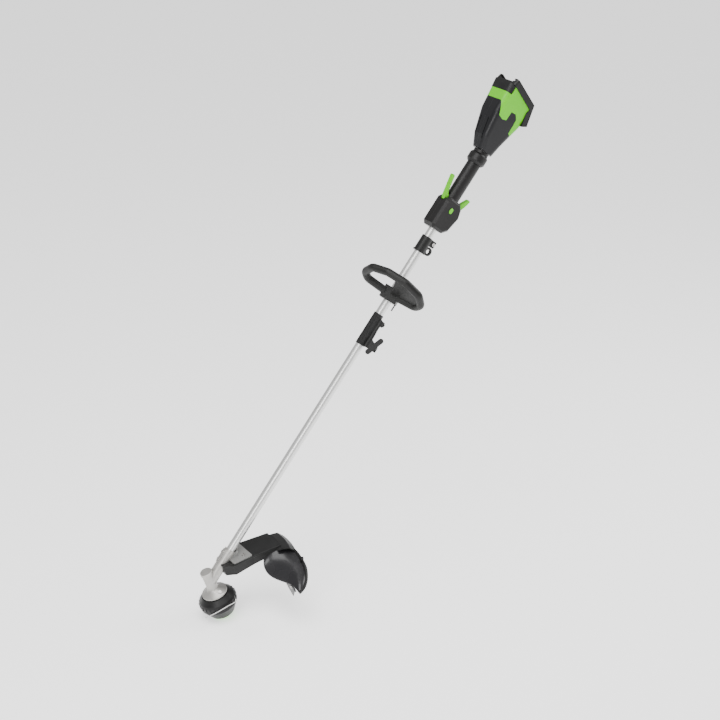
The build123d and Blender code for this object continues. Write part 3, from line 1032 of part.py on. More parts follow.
with BuildPart() as trigger:
    with BuildSketch(SIDE):
        with BuildLine():
            hook_root, hook_middle, hook_tip = [stepped(place, step)[0] for place, step in
                                                zip((TRIGGER_PIVOT, TRIGGER_MIDDLE, TRIGGER_TIP), TRIGGER_HOOK)]
            back_root, back_middle, back_tip = [stepped(place, step)[0] for place, step in
                                                zip((TRIGGER_PIVOT, TRIGGER_MIDDLE, TRIGGER_TIP), TRIGGER_BACK)]
            Spline(hook_root, hook_middle, hook_tip)
            Line(hook_tip, back_tip)
            Spline(back_tip, back_middle, back_root)
            Polyline(back_root, *stepped(TRIGGER_PIVOT, *TRIGGER_HEEL), hook_root)
        make_face()
        with Locations(TRIGGER_PIVOT):
            Circle(CONTROL_PIN_RADIUS + RUNNING_FIT, mode=Mode.SUBTRACT)
    extrude(amount=CONTROL_HALF_WIDTH, both=True)
finish(trigger.part, "trigger", SHAFT)

with BuildPart() as lock_off_lever:
    with BuildSketch(SIDE):
        with BuildLine():
            Polyline(*stepped(LEVER_PIVOT, *LEVER_HEEL), *stepped(LEVER_TIP, *LEVER_NOSE), close=True)
        make_face()
        with Locations(LEVER_PIVOT):
            Circle(CONTROL_PIN_RADIUS + RUNNING_FIT, mode=Mode.SUBTRACT)
    extrude(amount=CONTROL_HALF_WIDTH, both=True)
finish(lock_off_lever.part, "lock_off_lever", SHAFT)

with BuildPart() as control_pins:
    for x, height in (TRIGGER_PIVOT, LEVER_PIVOT):
        with Locations(Plane((x, 0, height), x_dir=(1, 0, 0), z_dir=(0, -1, 0))):
            add(rod(CONTROL_PIN_RADIUS, -2 * CONTROL_HALF_WIDTH, 2 * CONTROL_HALF_WIDTH))
finish(control_pins.part, "control_pins", SHAFT)

with BuildPart() as speed_button:
    button_depth = HOUSING_HALF_WIDTH - TUBE_COVER - SPEED_BUTTON_TRAVEL - PIECE_GAP
    with BuildSketch(SIDE.offset(-HOUSING_HALF_WIDTH - SPEED_BUTTON_STAND)):
        with Locations((0, SPEED_BUTTON_HEIGHT)):
            SlotOverall(SPEED_BUTTON_LENGTH, SPEED_BUTTON_WIDTH, rotation=90)
    extrude(amount=button_depth + SPEED_BUTTON_STAND)
    chamfer(faces().sort_by(Axis.Y)[-1].edges(), SPEED_BUTTON_EDGE)
finish(speed_button.part, "speed_button", SHAFT)

with BuildPart() as trigger_switch:
    with Locations((-TUBE_COVER - SWITCH_DEPTH / 2, 0, SWITCH_START + SWITCH_LENGTH / 2)):
        Box(SWITCH_DEPTH, 2 * CONTROL_SLOT, SWITCH_LENGTH)
finish(trigger_switch.part, "trigger_switch", SHAFT)

# Rear housing: a lofted shell that closes round the motor, cut square to the battery dock
DOCK = Plane((0, 0, REAR_START + REAR_LENGTH), x_dir=(cos_of(DOCK_LEAN), 0, sin_of(DOCK_LEAN)),
             z_dir=(-sin_of(DOCK_LEAN), 0, cos_of(DOCK_LEAN)))
DOCK_PLACE = Plane(SHAFT.from_local_coords(DOCK.origin),
                   x_dir=SHAFT.x_dir * cos_of(DOCK_LEAN) + SHAFT.z_dir * sin_of(DOCK_LEAN),
                   z_dir=SHAFT.z_dir * cos_of(DOCK_LEAN) - SHAFT.x_dir * sin_of(DOCK_LEAN))


def rear_form(inset):
    """The rear housing's outer form, drawn in by a wall."""
    with BuildPart() as form:
        for height, rise, tall, wide, corner in REAR_SECTIONS:
            with BuildSketch(Plane.XY.offset(REAR_START + height)):
                with Locations((rise, 0)):
                    RectangleRounded(tall - 2 * inset, wide - 2 * inset, corner - inset)
        loft(ruled=True)
        split(bisect_by=DOCK, keep=Keep.BOTTOM)
    return form.part


def latch_room(floor, start):
    """Everything above a floor and behind a start, across the whole housing."""
    with BuildPart() as room:
        with Locations((floor, 0, start)):
            Box(REAR_LENGTH, 2 * DOCK_WIDTH, REAR_LENGTH, align=(Align.MIN, Align.CENTER, Align.MIN))
    return room.part


def latch_stems(radius, length):
    """The two stems that guide the release cap, or their holes."""
    with BuildPart() as stems:
        stem_height = LATCH_START + 2 * LATCH_STEM_RADIUS
        with BuildSketch(Plane((LATCH_FLOOR, 0, stem_height), x_dir=(0, 1, 0), z_dir=(-1, 0, 0))):
            with GridLocations(2 * LATCH_STEM_PLACE, 1, 2, 1):
                Circle(radius)
        extrude(amount=length)
    return stems.part


LATCH_POCKET = latch_room(LATCH_FLOOR - LATCH_TRAVEL - PIECE_GAP, LATCH_START - PIECE_GAP)
with BuildPart() as rear_cover:
    add(rear_form(0))
    add(rear_form(COVER_WALL), mode=Mode.SUBTRACT)
    with BuildSketch(SIDE):
        with BuildLine():
            front = REAR_START + COVER_FRONT
            prong = REAR_START + COVER_PRONG
            low_prong = REAR_START + COVER_LOW_PRONG
            rear = REAR_START + 2 * REAR_LENGTH
            Polyline((COVER_SPAN, rear), (COVER_SPAN, front), *stepped((0, front), COVER_BROW[0]),
                     *stepped((0, prong), *COVER_BROW[1:]), *[(x, front - step) for x, step in COVER_PANEL],
                     *stepped((0, low_prong), *COVER_LOW_EDGE), (-COVER_SPAN, low_prong), (-COVER_SPAN, rear),
                     close=True)
        make_face()
    extrude(amount=DOCK_WIDTH, both=True, mode=Mode.INTERSECT)
    add(LATCH_POCKET, mode=Mode.SUBTRACT)
finish(rear_cover.part, "rear_cover", SHAFT)

HOUSING_SCREW_PLACES = tuple(stepped((0, REAR_START), *HOUSING_SCREWS))
with BuildPart() as rear_body:
    add(rear_form(0))
    add(rear_cover.part, mode=Mode.SUBTRACT)
    add(rod(TUBE_RADIUS + SEAT_FIT, REAR_START, UPPER_TUBE_END), mode=Mode.SUBTRACT)
    add(turned((0, UPPER_TUBE_END), (2 * DRIVE_RADIUS, UPPER_TUBE_END),
               (2 * DRIVE_RADIUS, MOTOR_START - BEARING_WIDTH),
               (MOTOR_BEARING_RADIUS + SEAT_FIT, MOTOR_START - BEARING_WIDTH),
               (MOTOR_BEARING_RADIUS + SEAT_FIT, MOTOR_START), (STATOR_RADIUS + SEAT_FIT, MOTOR_START),
               (STATOR_RADIUS + SEAT_FIT, MOTOR_END), (MOTOR_BEARING_RADIUS + SEAT_FIT, MOTOR_END),
               (MOTOR_BEARING_RADIUS + SEAT_FIT, MOTOR_END + BEARING_WIDTH),
               (2 * DRIVE_RADIUS, MOTOR_END + BEARING_WIDTH),
               (2 * DRIVE_RADIUS, MOTOR_SHAFT_END + MOTOR_SHAFT_ROOM),
               (0, MOTOR_SHAFT_END + MOTOR_SHAFT_ROOM)), mode=Mode.SUBTRACT)
    with Locations((-BOARD_DROP, 0, MOTOR_SHAFT_END + BOARD_LENGTH / 2 - BOARD_LAP)):
        Box(BOARD_THICKNESS + 2 * SEAT_FIT, BOARD_WIDTH + 2 * SEAT_FIT, BOARD_LENGTH + 2 * SEAT_FIT,
            mode=Mode.SUBTRACT)
    add(LATCH_POCKET, mode=Mode.SUBTRACT)
    add(latch_stems(LATCH_STEM_RADIUS + PIECE_GAP, LATCH_STEM_LENGTH + LATCH_TRAVEL + PIECE_GAP),
        mode=Mode.SUBTRACT)
    with BuildSketch(SIDE):
        with Locations(*HOUSING_SCREW_PLACES):
            Circle(SCREW_RADIUS + SEAT_FIT)
    extrude(amount=SCREW_LENGTH / 2 + SEAT_FIT, both=True, mode=Mode.SUBTRACT)
    air_slot_top = REAR_SECTIONS[2][1] + REAR_SECTIONS[2][2] / 2
    with Locations((air_slot_top, 0, REAR_START + AIR_SLOT_START + AIR_SLOT_LENGTH / 2)):
        with GridLocations(1, 2 * AIR_SLOT_PLACE, 1, 2):
            Box(2 * (air_slot_top - STATOR_RADIUS), AIR_SLOT_WIDTH, AIR_SLOT_LENGTH, mode=Mode.SUBTRACT)
for half_name, kept in (("rear_housing_left", Keep.BOTTOM), ("rear_housing_right", Keep.TOP)):
    with BuildPart() as rear_half:
        add(rear_body.part)
        split(bisect_by=SIDE, keep=kept)
    finish(rear_half.part, half_name, SHAFT)

with BuildPart() as housing_screws:
    for x, height in GRIP_SCREW_PLACES + HOUSING_SCREW_PLACES:
        with Locations(Plane((x, 0, height), x_dir=(1, 0, 0), z_dir=(0, -1, 0))):
            add(rod(SCREW_RADIUS, -SCREW_LENGTH / 2, SCREW_LENGTH / 2))
finish(housing_screws.part, "housing_screws", SHAFT)

with BuildPart() as battery_latch:
    add(rear_form(-LATCH_STAND))
    split(bisect_by=DOCK.offset(-LATCH_REAR_GAP), keep=Keep.BOTTOM)
    add(latch_room(LATCH_FLOOR, LATCH_START), mode=Mode.INTERSECT)
    add(latch_stems(LATCH_STEM_RADIUS, LATCH_STEM_LENGTH))
finish(battery_latch.part, "battery_latch", SHAFT)

# Motor: stator, rotor, fan and bearings on the upper drive shaft, with the controller board behind
finish(ring(STATOR_RADIUS, STATOR_BORE, MOTOR_START, MOTOR_START + STATOR_LENGTH), "motor_stator", SHAFT)
finish(ring(STATOR_BORE - ROTOR_GAP, DRIVE_RADIUS + SEAT_FIT, MOTOR_START + ROTOR_SETBACK,
            MOTOR_START + STATOR_LENGTH), "motor_rotor", SHAFT)
FAN_START = MOTOR_START + STATOR_LENGTH + FAN_GAP
FAN_RADIUS = STATOR_RADIUS - FAN_TIP_GAP
with BuildPart() as motor_fan:
    add(ring(FAN_RADIUS, DRIVE_RADIUS + SEAT_FIT, FAN_START, FAN_START + FAN_DISC))
    add(ring(2 * DRIVE_RADIUS, DRIVE_RADIUS + SEAT_FIT, FAN_START, FAN_START + FAN_LENGTH))
    with PolarLocations((FAN_RADIUS + 2 * DRIVE_RADIUS) / 2, FAN_BLADES):
        with Locations(Location((0, 0, FAN_START + FAN_LENGTH / 2), (0, 0, FAN_BLADE_TURN))):
            Box(FAN_RADIUS - FAN_BLADE_SETBACK - 2 * DRIVE_RADIUS, FAN_BLADE_WALL, FAN_LENGTH)
finish(motor_fan.part, "motor_fan", SHAFT)
with BuildPart() as motor_bearings:
    for low in (MOTOR_START - BEARING_WIDTH, MOTOR_END):
        add(ring(MOTOR_BEARING_RADIUS, DRIVE_RADIUS + RUNNING_FIT, low, low + BEARING_WIDTH))
finish(motor_bearings.part, "motor_bearings", SHAFT)
with BuildPart() as controller_board:
    with Locations((-BOARD_DROP, 0, MOTOR_SHAFT_END + BOARD_LENGTH / 2 - BOARD_LAP)):
        Box(BOARD_THICKNESS, BOARD_WIDTH, BOARD_LENGTH)
finish(controller_board.part, "controller_board", SHAFT)

# Battery dock: a tray with rails, a chin under the housing and a block of contact blades
with BuildPart() as battery_dock:
    with BuildSketch(SIDE):
        with BuildLine():
            Polyline((DOCK_TOP, 0), (DOCK_TOP, DOCK_THICKNESS), (DOCK_KNEE, DOCK_THICKNESS),
                     (-CHIN_DROP, -CHIN_REACH), (CHIN_LIP - CHIN_DROP, -CHIN_REACH - CHIN_LIP),
                     (DOCK_KNEE, -CHIN_LIP), (DOCK_KNEE, 0), close=True)
        make_face()
    extrude(amount=DOCK_WIDTH / 2, both=True)
    fillet(edges().filter_by(Axis.Z).group_by(Axis.X)[-1], DOCK_CORNER)
    channel_length = DOCK_TOP - DOCK_STOP
    with Locations((DOCK_STOP, 0, DOCK_FLOOR)):
        Box(channel_length, DOCK_CHANNEL, DOCK_THICKNESS, align=(Align.MIN, Align.CENTER, Align.MIN),
            mode=Mode.SUBTRACT)
    for side in (-1, 1):
        with Locations((DOCK_STOP, side * DOCK_CHANNEL / 2, DOCK_THICKNESS - 1.2 * DOCK_LIP)):
            Box(channel_length, 2 * DOCK_LIP, DOCK_LIP, align=(Align.MIN, Align.CENTER, Align.CENTER),
                mode=Mode.SUBTRACT)
    add(DOCK.to_local_coords(rear_form(0)), mode=Mode.SUBTRACT)
finish(battery_dock.part, "battery_dock", DOCK_PLACE)
with BuildPart() as terminal_block:
    with Locations((DOCK_STOP, 0, DOCK_FLOOR)):
        Box(TERMINAL_LENGTH, TERMINAL_WIDTH, TERMINAL_STAND, align=(Align.MIN, Align.CENTER, Align.MIN))
finish(terminal_block.part, "terminal_block", DOCK_PLACE)
with BuildPart() as terminal_blades:
    with Locations((DOCK_STOP + TERMINAL_LENGTH + CONTACT_LENGTH / 2, 0, DOCK_FLOOR + CONTACT_RISE)):
        with GridLocations(1, TERMINAL_WIDTH / BLADE_COUNT, 1, BLADE_COUNT):
            Box(CONTACT_LENGTH, CONTACT_THICKNESS, CONTACT_HEIGHT)
finish(terminal_blades.part, "terminal_blades", DOCK_PLACE)
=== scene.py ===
import math
import bpy
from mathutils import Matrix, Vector


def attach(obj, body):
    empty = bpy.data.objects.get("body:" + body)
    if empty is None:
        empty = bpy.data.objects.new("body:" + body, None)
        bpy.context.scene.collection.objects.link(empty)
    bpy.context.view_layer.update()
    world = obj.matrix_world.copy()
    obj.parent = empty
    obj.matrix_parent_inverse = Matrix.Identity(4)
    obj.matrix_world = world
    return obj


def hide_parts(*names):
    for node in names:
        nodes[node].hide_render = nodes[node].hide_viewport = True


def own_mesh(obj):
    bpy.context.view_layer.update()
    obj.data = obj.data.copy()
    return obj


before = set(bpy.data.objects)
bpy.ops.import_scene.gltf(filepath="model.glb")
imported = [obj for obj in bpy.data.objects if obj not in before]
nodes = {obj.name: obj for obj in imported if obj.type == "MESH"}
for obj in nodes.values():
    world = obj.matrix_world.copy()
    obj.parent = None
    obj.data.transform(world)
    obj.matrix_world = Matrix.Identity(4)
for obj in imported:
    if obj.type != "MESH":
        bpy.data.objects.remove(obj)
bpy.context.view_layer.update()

# Lower and upper tube: drawn aluminium, satin, with faint lines along the draw.
# The lower one pushes into the gear case and the upper one runs into the rear housing.


class Wire:
    """A socket of a material's node tree that ordinary arithmetic works on."""

    def __init__(self, tree, socket=None):
        self.tree = tree
        self.socket = socket

    def node(self, kind, settings=None, inputs=None, output=0):
        """Any node: its settings are set first, then the values or links of its sockets."""
        made = self.tree.nodes.new(kind)
        for name, value in (settings or {}).items():
            setattr(made, name, value)
        for name, value in (inputs or {}).items():
            if isinstance(value, Wire):
                self.tree.links.new(value.socket, made.inputs[name])
            else:
                made.inputs[name].default_value = value
        return Wire(self.tree, made.outputs[output])

    def math(self, operation, first, second):
        """A Math node on two values."""
        return self.node("ShaderNodeMath", {"operation": operation}, {0: first, 1: second})

    def __add__(self, other):
        return self.math("ADD", self, other)

    __radd__ = __add__

    def __sub__(self, other):
        return self.math("SUBTRACT", self, other)

    def __rsub__(self, other):
        return self.math("SUBTRACT", other, self)

    def __mul__(self, other):
        return self.math("MULTIPLY", self, other)

    __rmul__ = __mul__

    def __gt__(self, other):
        return self.math("GREATER_THAN", self, other)


SHAFT_RISE = math.radians(51)
ALONG_SHAFT = Vector((math.cos(SHAFT_RISE), 0, math.sin(SHAFT_RISE)))
ABOVE_SHAFT = Vector((-math.sin(SHAFT_RISE), 0, math.cos(SHAFT_RISE)))


def new_finish(name, metallic=0.0, coat=0.0, shine=0.5):
    """A material with its constants set, its tree's wire and its shader."""
    material = bpy.data.materials.new(name)
    material.use_nodes = True
    shader = material.node_tree.nodes["Principled BSDF"]
    shader.inputs["Metallic"].default_value = metallic
    shader.inputs["Coat Weight"].default_value = coat
    shader.inputs["Specular IOR Level"].default_value = shine
    return material, Wire(material.node_tree), shader


def wear(material, *names):
    """Put a finish on CAD nodes."""
    for name in names:
        nodes[name].data.materials.clear()
        nodes[name].data.materials.append(material)


def place_of(wire):
    """The point on the surface in the trimmer's own frame, in metres."""
    return wire.node("ShaderNodeTexCoord", output="Object")


def dot(wire, direction):
    """How far the surface point lies along a direction, in metres."""
    return wire.node("ShaderNodeVectorMath", {"operation": "DOT_PRODUCT"},
                     {0: place_of(wire), 1: direction}, output="Value")


def stretched(wire, across, side, along):
    """The surface point in the shaft's own directions, each scaled."""
    return wire.node("ShaderNodeCombineXYZ", None,
                     {0: dot(wire, ABOVE_SHAFT) * across, 1: dot(wire, (0, -1, 0)) * side,
                      2: dot(wire, ALONG_SHAFT) * along})


def noise(wire, scale, detail=3.0, vector=None):
    """Even noise from 0 to 1."""
    return wire.node("ShaderNodeTexNoise", None,
                     {"Vector": vector or place_of(wire), "Scale": scale, "Detail": detail})


MIX_AMOUNT = 0
MIX_DARK = 6
MIX_LIGHT = 7
MIX_COLOUR = 2


def tint(wire, amount, dark, light):
    """A colour between two, by an amount."""
    return wire.node("ShaderNodeMix", {"data_type": "RGBA"},
                     {MIX_AMOUNT: amount, MIX_DARK: (*dark, 1), MIX_LIGHT: (*light, 1)}, output=MIX_COLOUR)


def lay_on(wire, shader, colour=None, roughness=None, height=None, depth=0.0005, strength=0.3):
    """Feed a finish's colour, roughness and bump."""
    links = wire.tree.links
    if colour:
        links.new(colour.socket, shader.inputs["Base Color"])
    if roughness:
        links.new(roughness.socket, shader.inputs["Roughness"])
    if height:
        bump = wire.node("ShaderNodeBump", None,
                         {"Strength": strength, "Distance": depth, "Height": height})
        links.new(bump.socket, shader.inputs["Normal"])


TUBE_SHADES = ((0.60, 0.60, 0.59), (0.78, 0.78, 0.77))
drawn_aluminium, wire, shader = new_finish("drawn_aluminium", metallic=0.85)
draw_lines = noise(wire, 1.0, 4.0, stretched(wire, 900, 900, 5))
handling = noise(wire, 9.0, 4.0)
lay_on(wire, shader, tint(wire, draw_lines, *TUBE_SHADES), 0.24 + draw_lines * 0.10 + handling * 0.12,
       draw_lines, 0.0002)
wear(drawn_aluminium, "lower_tube", "upper_tube")

# Drive line inside the tubes: ground steel shafts in plastic bushings, with the bevel pair at the foot.
# Nothing of it shows until the tubes are pulled apart.
GROUND_SHADES = ((0.36, 0.36, 0.37), (0.56, 0.56, 0.56))
ground_steel, wire, shader = new_finish("ground_steel", metallic=1.0)
grinding = noise(wire, 1.0, 3.0, stretched(wire, 300, 300, 1400))
lay_on(wire, shader, tint(wire, grinding, *GROUND_SHADES), 0.22 + grinding * 0.18, grinding, 0.0001)
wear(ground_steel, "lower_drive_shaft", "upper_drive_shaft", "bevel_pinion", "bevel_gear", "spindle",
     "gear_case_bearings", "motor_bearings", "control_pins", "housing_screws")
BUSHING_SHADES = ((0.05, 0.05, 0.052), (0.09, 0.09, 0.092))
bushing_nylon, wire, shader = new_finish("bushing_nylon")
flow = noise(wire, 60.0)
lay_on(wire, shader, tint(wire, flow, *BUSHING_SHADES), 0.45 + flow * 0.15)
wear(bushing_nylon, "lower_bushings", "upper_bushings")

# Gear case and its cap: die-cast aluminium with a fine shot-blasted skin.
# The neck is clamped on the tube by two screws, and a slotted grease plug sits on the dish.
CAST_SHADES = ((0.36, 0.35, 0.33), (0.50, 0.49, 0.47))
cast_aluminium, wire, shader = new_finish("cast_aluminium", metallic=0.7)
blasting = noise(wire, 1100.0, 2.0)
casting = noise(wire, 45.0, 4.0)
lay_on(wire, shader, tint(wire, casting, *CAST_SHADES), 0.34 + casting * 0.2, blasting, 0.0003, 0.35)
wear(cast_aluminium, "gear_case", "gear_case_cap")
BRIGHT_SHADES = ((0.42, 0.41, 0.40), (0.66, 0.65, 0.63))
bright_steel, wire, shader = new_finish("bright_steel", metallic=1.0)
turning = noise(wire, 700.0, 2.0)
staining = noise(wire, 80.0, 3.0)
lay_on(wire, shader, tint(wire, staining, *BRIGHT_SHADES), 0.25 + staining * 0.2, turning, 0.0001)
wear(bright_steel, "neck_screws", "grease_plug", "guard_screws", "blade_screws", "line_eyelets",
     "clamp_bolt", "handle_bolts", "strap_bolt")

# Trimmer head: two black nylon mouldings with a fine spark-eroded texture, closed at the seam.
# The green bump knob stands out of the lower one, with the spool and the wound line behind it.
NYLON_SHADES = ((0.004, 0.004, 0.004), (0.014, 0.014, 0.014))
black_nylon, wire, shader = new_finish("black_nylon", shine=0.25)
spark_grain = noise(wire, 1500.0, 2.0)
scuffs = noise(wire, 35.0, 5.0)
lay_on(wire, shader, tint(wire, scuffs, *NYLON_SHADES), 0.28 + scuffs * 0.22, spark_grain, 0.0003, 0.3)
wear(black_nylon, "head_housing", "head_cover", "spool")
GREEN_SHADES = ((0.085, 0.420, 0.0), (0.110, 0.500, 0.001))
green_gloss, wire, shader = new_finish("green_gloss", coat=0.1, shine=0.25)
moulding = noise(wire, 28.0, 3.0)
skin = noise(wire, 900.0, 2.0)
lay_on(wire, shader, tint(wire, moulding, *GREEN_SHADES), 0.26 + moulding * 0.14, skin, 0.0002, 0.12)
wear(green_gloss, "bump_knob")

# Trimmer lines: pale round nylon, one out of each eyelet.
# The left one bends round the head and comes to rest on the floor.
# The other is cut short behind the head.
LINE_SHADES = ((0.62, 0.62, 0.60), (0.82, 0.82, 0.80))
line_nylon, wire, shader = new_finish("line_nylon")
haze = noise(wire, 240.0)
lay_on(wire, shader, tint(wire, haze, *LINE_SHADES), 0.30 + haze * 0.15)
wear(line_nylon, "wound_line")
HEAD_LEAN = math.radians(19)
BEHIND_HEAD = Vector((math.cos(HEAD_LEAN), 0, math.sin(HEAD_LEAN)))
UP_SPINDLE = Vector((-math.sin(HEAD_LEAN), 0, math.cos(HEAD_LEAN)))
LINE_DIAMETER = 0.0024
EYELET_TURN = math.radians(48)
EYELET_HEIGHT = 0.047
EYELET_REACHES = (0.053, 0.066)


def on_head(back, right, up):
    """A point of the head's own frame in the trimmer's frame, metres."""
    return BEHIND_HEAD * back + Vector((0, right, 0)) + UP_SPINDLE * up


def trimmer_line(name, turn, route):
    """A smooth line from inside an eyelet along a route of points."""
    out = Vector((math.cos(turn), -math.sin(turn)))
    points = [on_head(*(out * reach), EYELET_HEIGHT) for reach in EYELET_REACHES]
    points += [on_head(*point) for point in route]
    curve = bpy.data.curves.new(name, "CURVE")
    curve.dimensions = "3D"
    spline = curve.splines.new("NURBS")
    spline.points.add(len(points) - 1)
    for control, point in zip(spline.points, points):
        control.co = (*point, 1)
    spline.order_u = 3
    spline.use_endpoint_u = True
    spline.resolution_u = 12
    curve.bevel_depth = LINE_DIAMETER / 2
    curve.bevel_resolution = 3
    curve.use_fill_caps = True
    piece = bpy.data.objects.new(name, curve)
    bpy.context.scene.collection.objects.link(piece)
    curve.materials.append(line_nylon)
    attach(piece, "head")
    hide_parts(name.replace("laid_", "trimmer_"))


trimmer_line("laid_line_left", EYELET_TURN,
             ((-0.0006, -0.0624, 0.0620), (-0.0266, -0.0551, 0.0575), (-0.0486, -0.0384, 0.0474),
              (-0.0559, 0.0126, 0.0136)))
trimmer_line("laid_line_right", EYELET_TURN + math.pi,
             ((0.0006, 0.0624, 0.0490), (0.0300, 0.0560, 0.0460)))

# Bump spring: a coil of bright steel wire between the spool and the roof of the head.
# It turns with the head and closes as the spool is pressed up.
BEAD_SIDES = 10


def bead(name, body, material, points, radii):
    """A smooth round bead along a route of points, with its own radius at each."""
    rings = []
    for place, point in enumerate(points):
        ahead = points[min(place + 1, len(points) - 1)] - points[max(place - 1, 0)]
        first = ahead.cross((0, 0, 1)).normalized()
        second = ahead.normalized().cross(first)
        turns = [2 * math.pi * side / BEAD_SIDES for side in range(BEAD_SIDES)]
        rings.append([point + (first * math.cos(turn) + second * math.sin(turn)) * radii[place]
                      for turn in turns])
    faces = [(ring * BEAD_SIDES + side, ring * BEAD_SIDES + (side + 1) % BEAD_SIDES,
              (ring + 1) * BEAD_SIDES + (side + 1) % BEAD_SIDES, (ring + 1) * BEAD_SIDES + side)
             for ring in range(len(rings) - 1) for side in range(BEAD_SIDES)]
    last = len(rings) * BEAD_SIDES
    faces += [tuple(range(BEAD_SIDES))[::-1], tuple(range(last - BEAD_SIDES, last))]
    mesh = bpy.data.meshes.new(name)
    mesh.from_pydata([corner for ring in rings for corner in ring], [], faces)
    mesh.shade_smooth()
    mesh.materials.append(material)
    piece = bpy.data.objects.new(name, mesh)
    bpy.context.scene.collection.objects.link(piece)
    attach(piece, body)
    return piece


SPRING_TURNS = 4
SPRING_STEPS = 96
SPRING_RADIUS = 0.013
SPRING_WIRE = 0.0008
SPRING_FOOT = 0.0600
SPRING_RISE = 0.0165
coil = []
for step in range(SPRING_STEPS + 1):
    turn = 2 * math.pi * SPRING_TURNS * step / SPRING_STEPS
    coil.append(on_head(SPRING_RADIUS * math.cos(turn), SPRING_RADIUS * math.sin(turn),
                        SPRING_FOOT + SPRING_RISE * step / SPRING_STEPS))
coil_spring = bead("coil_spring", "head", bright_steel, coil, [SPRING_WIRE] * len(coil))
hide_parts("bump_spring")
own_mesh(coil_spring)

# Guard: one black nylon moulding, a hollow arm that ends in a hood and a rim.
# It is screwed to a plate under the neck.
# A rounded bead stiffens the arm's left edge, and a small stub stands on the rim.
wear(black_nylon, "guard")
EDGE_RADIUS = 0.0026
EDGE_SHARES = (0.4, 1, 1, 1)
EDGE_ROUTE = ((0.069, -0.0475, 0.1617), (0.134, -0.0475, 0.1515),
              (0.180, -0.0515, 0.1445), (0.224, -0.0555, 0.1378))
bead("guard_edge_bead", "boom", black_nylon, [on_head(*point) for point in EDGE_ROUTE],
     [EDGE_RADIUS * share for share in EDGE_SHARES])
STUB_RADII = (0.0052, 0.0048, 0.0036)
STUB_ROUTE = ((0.244, -0.123, 0.100), (0.247, -0.124, 0.106), (0.249, -0.125, 0.112))
bead("rim_stub", "boom", black_nylon, [on_head(*point) for point in STUB_ROUTE], STUB_RADII)

# Guard plate: pressed sheet, zinc-bright and satin, with a saddle that takes the neck.
# Socket screws go through it into the arm.
PLATE_SHADES = ((0.24, 0.24, 0.235), (0.34, 0.34, 0.33))
satin_plate, wire, shader = new_finish("satin_plate", metallic=0.55)
rolling = noise(wire, 1.0, 3.0, stretched(wire, 1200, 20, 1200))
lay_on(wire, shader, tint(wire, rolling, *PLATE_SHADES), 0.38 + rolling * 0.15, rolling, 0.0001)
wear(satin_plate, "guard_bracket")

# Skirt: a thin smoke-black fender, glossy outside, that closes the guard between the arm and the rim.
# A blackened steel blade on its land trims the line to length.
SMOKE_SHADES = ((0.008, 0.008, 0.009), (0.022, 0.021, 0.023))
smoke_gloss, wire, shader = new_finish("smoke_gloss", coat=0.12, shine=0.3)
swirl = noise(wire, 14.0, 3.0)
shallow = noise(wire, 30.0, 2.0)
lay_on(wire, shader, tint(wire, swirl, *SMOKE_SHADES), 0.20 + swirl * 0.14, shallow, 0.0012, 0.25)
wear(smoke_gloss, "guard_skirt")
BLADE_SHADES = ((0.05, 0.05, 0.052), (0.14, 0.14, 0.14))
blade_steel, wire, shader = new_finish("blade_steel", metallic=0.9)
oiling = noise(wire, 120.0, 4.0)
lay_on(wire, shader, tint(wire, oiling, *BLADE_SHADES), 0.30 + oiling * 0.2, oiling, 0.0001)
wear(blade_steel, "line_cutter_blade", "hex_key")

# Coupler: a glass-filled nylon sleeve on the upper tube, fluted along its length, with a clamp bar.
# Its wing knob draws the clamp shut on the lower tube, and the round button lets the tube out.
SHAFT_CROSSING = 0.124
SHAFT_MIDDLE = SHAFT_CROSSING * UP_SPINDLE.dot(ABOVE_SHAFT)
FLUTES = 30


def around_shaft(wire):
    """The angle about the shaft, radians."""
    return wire.math("ARCTAN2", dot(wire, (0, -1, 0)), dot(wire, ABOVE_SHAFT) - SHAFT_MIDDLE)


SLEEVE_SHADES = ((0.004, 0.004, 0.004), (0.012, 0.012, 0.012))
fluted_nylon, wire, shader = new_finish("fluted_nylon", shine=0.25)
flutes = wire.math("SINE", around_shaft(wire) * FLUTES, 0.0)
fibres = noise(wire, 500.0, 3.0)
lay_on(wire, shader, tint(wire, fibres, *SLEEVE_SHADES), 0.34 + fibres * 0.2,
       flutes * 0.5 + fibres * 0.15, 0.0010, 0.55)
wear(fluted_nylon, "coupler_sleeve")
wear(black_nylon, "clamp_knob", "release_button")

# Loop handle: a thick nylon loop with a rubbery skin, half of it closed by a web.
# A cap and two bolts clamp it on the upper tube, and a hex key is stowed in the cap.
RUBBER_SHADES = ((0.004, 0.004, 0.004), (0.013, 0.013, 0.012))


def leather_grain(wire, scale):
    """Small rounded cells, like pressed leather."""
    return wire.node("ShaderNodeTexVoronoi", None, {"Vector": place_of(wire), "Scale": scale})


soft_rubber, wire, shader = new_finish("soft_rubber", shine=0.25)
hand_shine = noise(wire, 16.0, 4.0)
lay_on(wire, shader, tint(wire, hand_shine, *RUBBER_SHADES), 0.32 + hand_shine * 0.22,
       leather_grain(wire, 420.0), 0.0005, 0.4)
wear(soft_rubber, "loop_handle")
wear(black_nylon, "handle_clamp")

# Strap clamp: a nylon band split at an ear below the tube, where a bolt pulls it tight.
# Its ring takes the hook of a shoulder strap.
wear(black_nylon, "strap_clamp")

# Grip and trigger housing: two halves of black nylon with a rubbery skin, screwed together round the tube.
# A groove runs along the joint between them, and a turned collar closes the upper end.
GRIP_SHADES = ((0.004, 0.004, 0.004), (0.013, 0.012, 0.012))
GRIP_GROOVE_SLOPE = 1400


def joint_groove(wire, slope):
    """0 where two halves meet in the middle plane, rising to 1 beside it."""
    from_middle = wire.math("ABSOLUTE", dot(wire, (0, 1, 0)), 0.0)
    return wire.math("MINIMUM", from_middle * slope, 1.0)


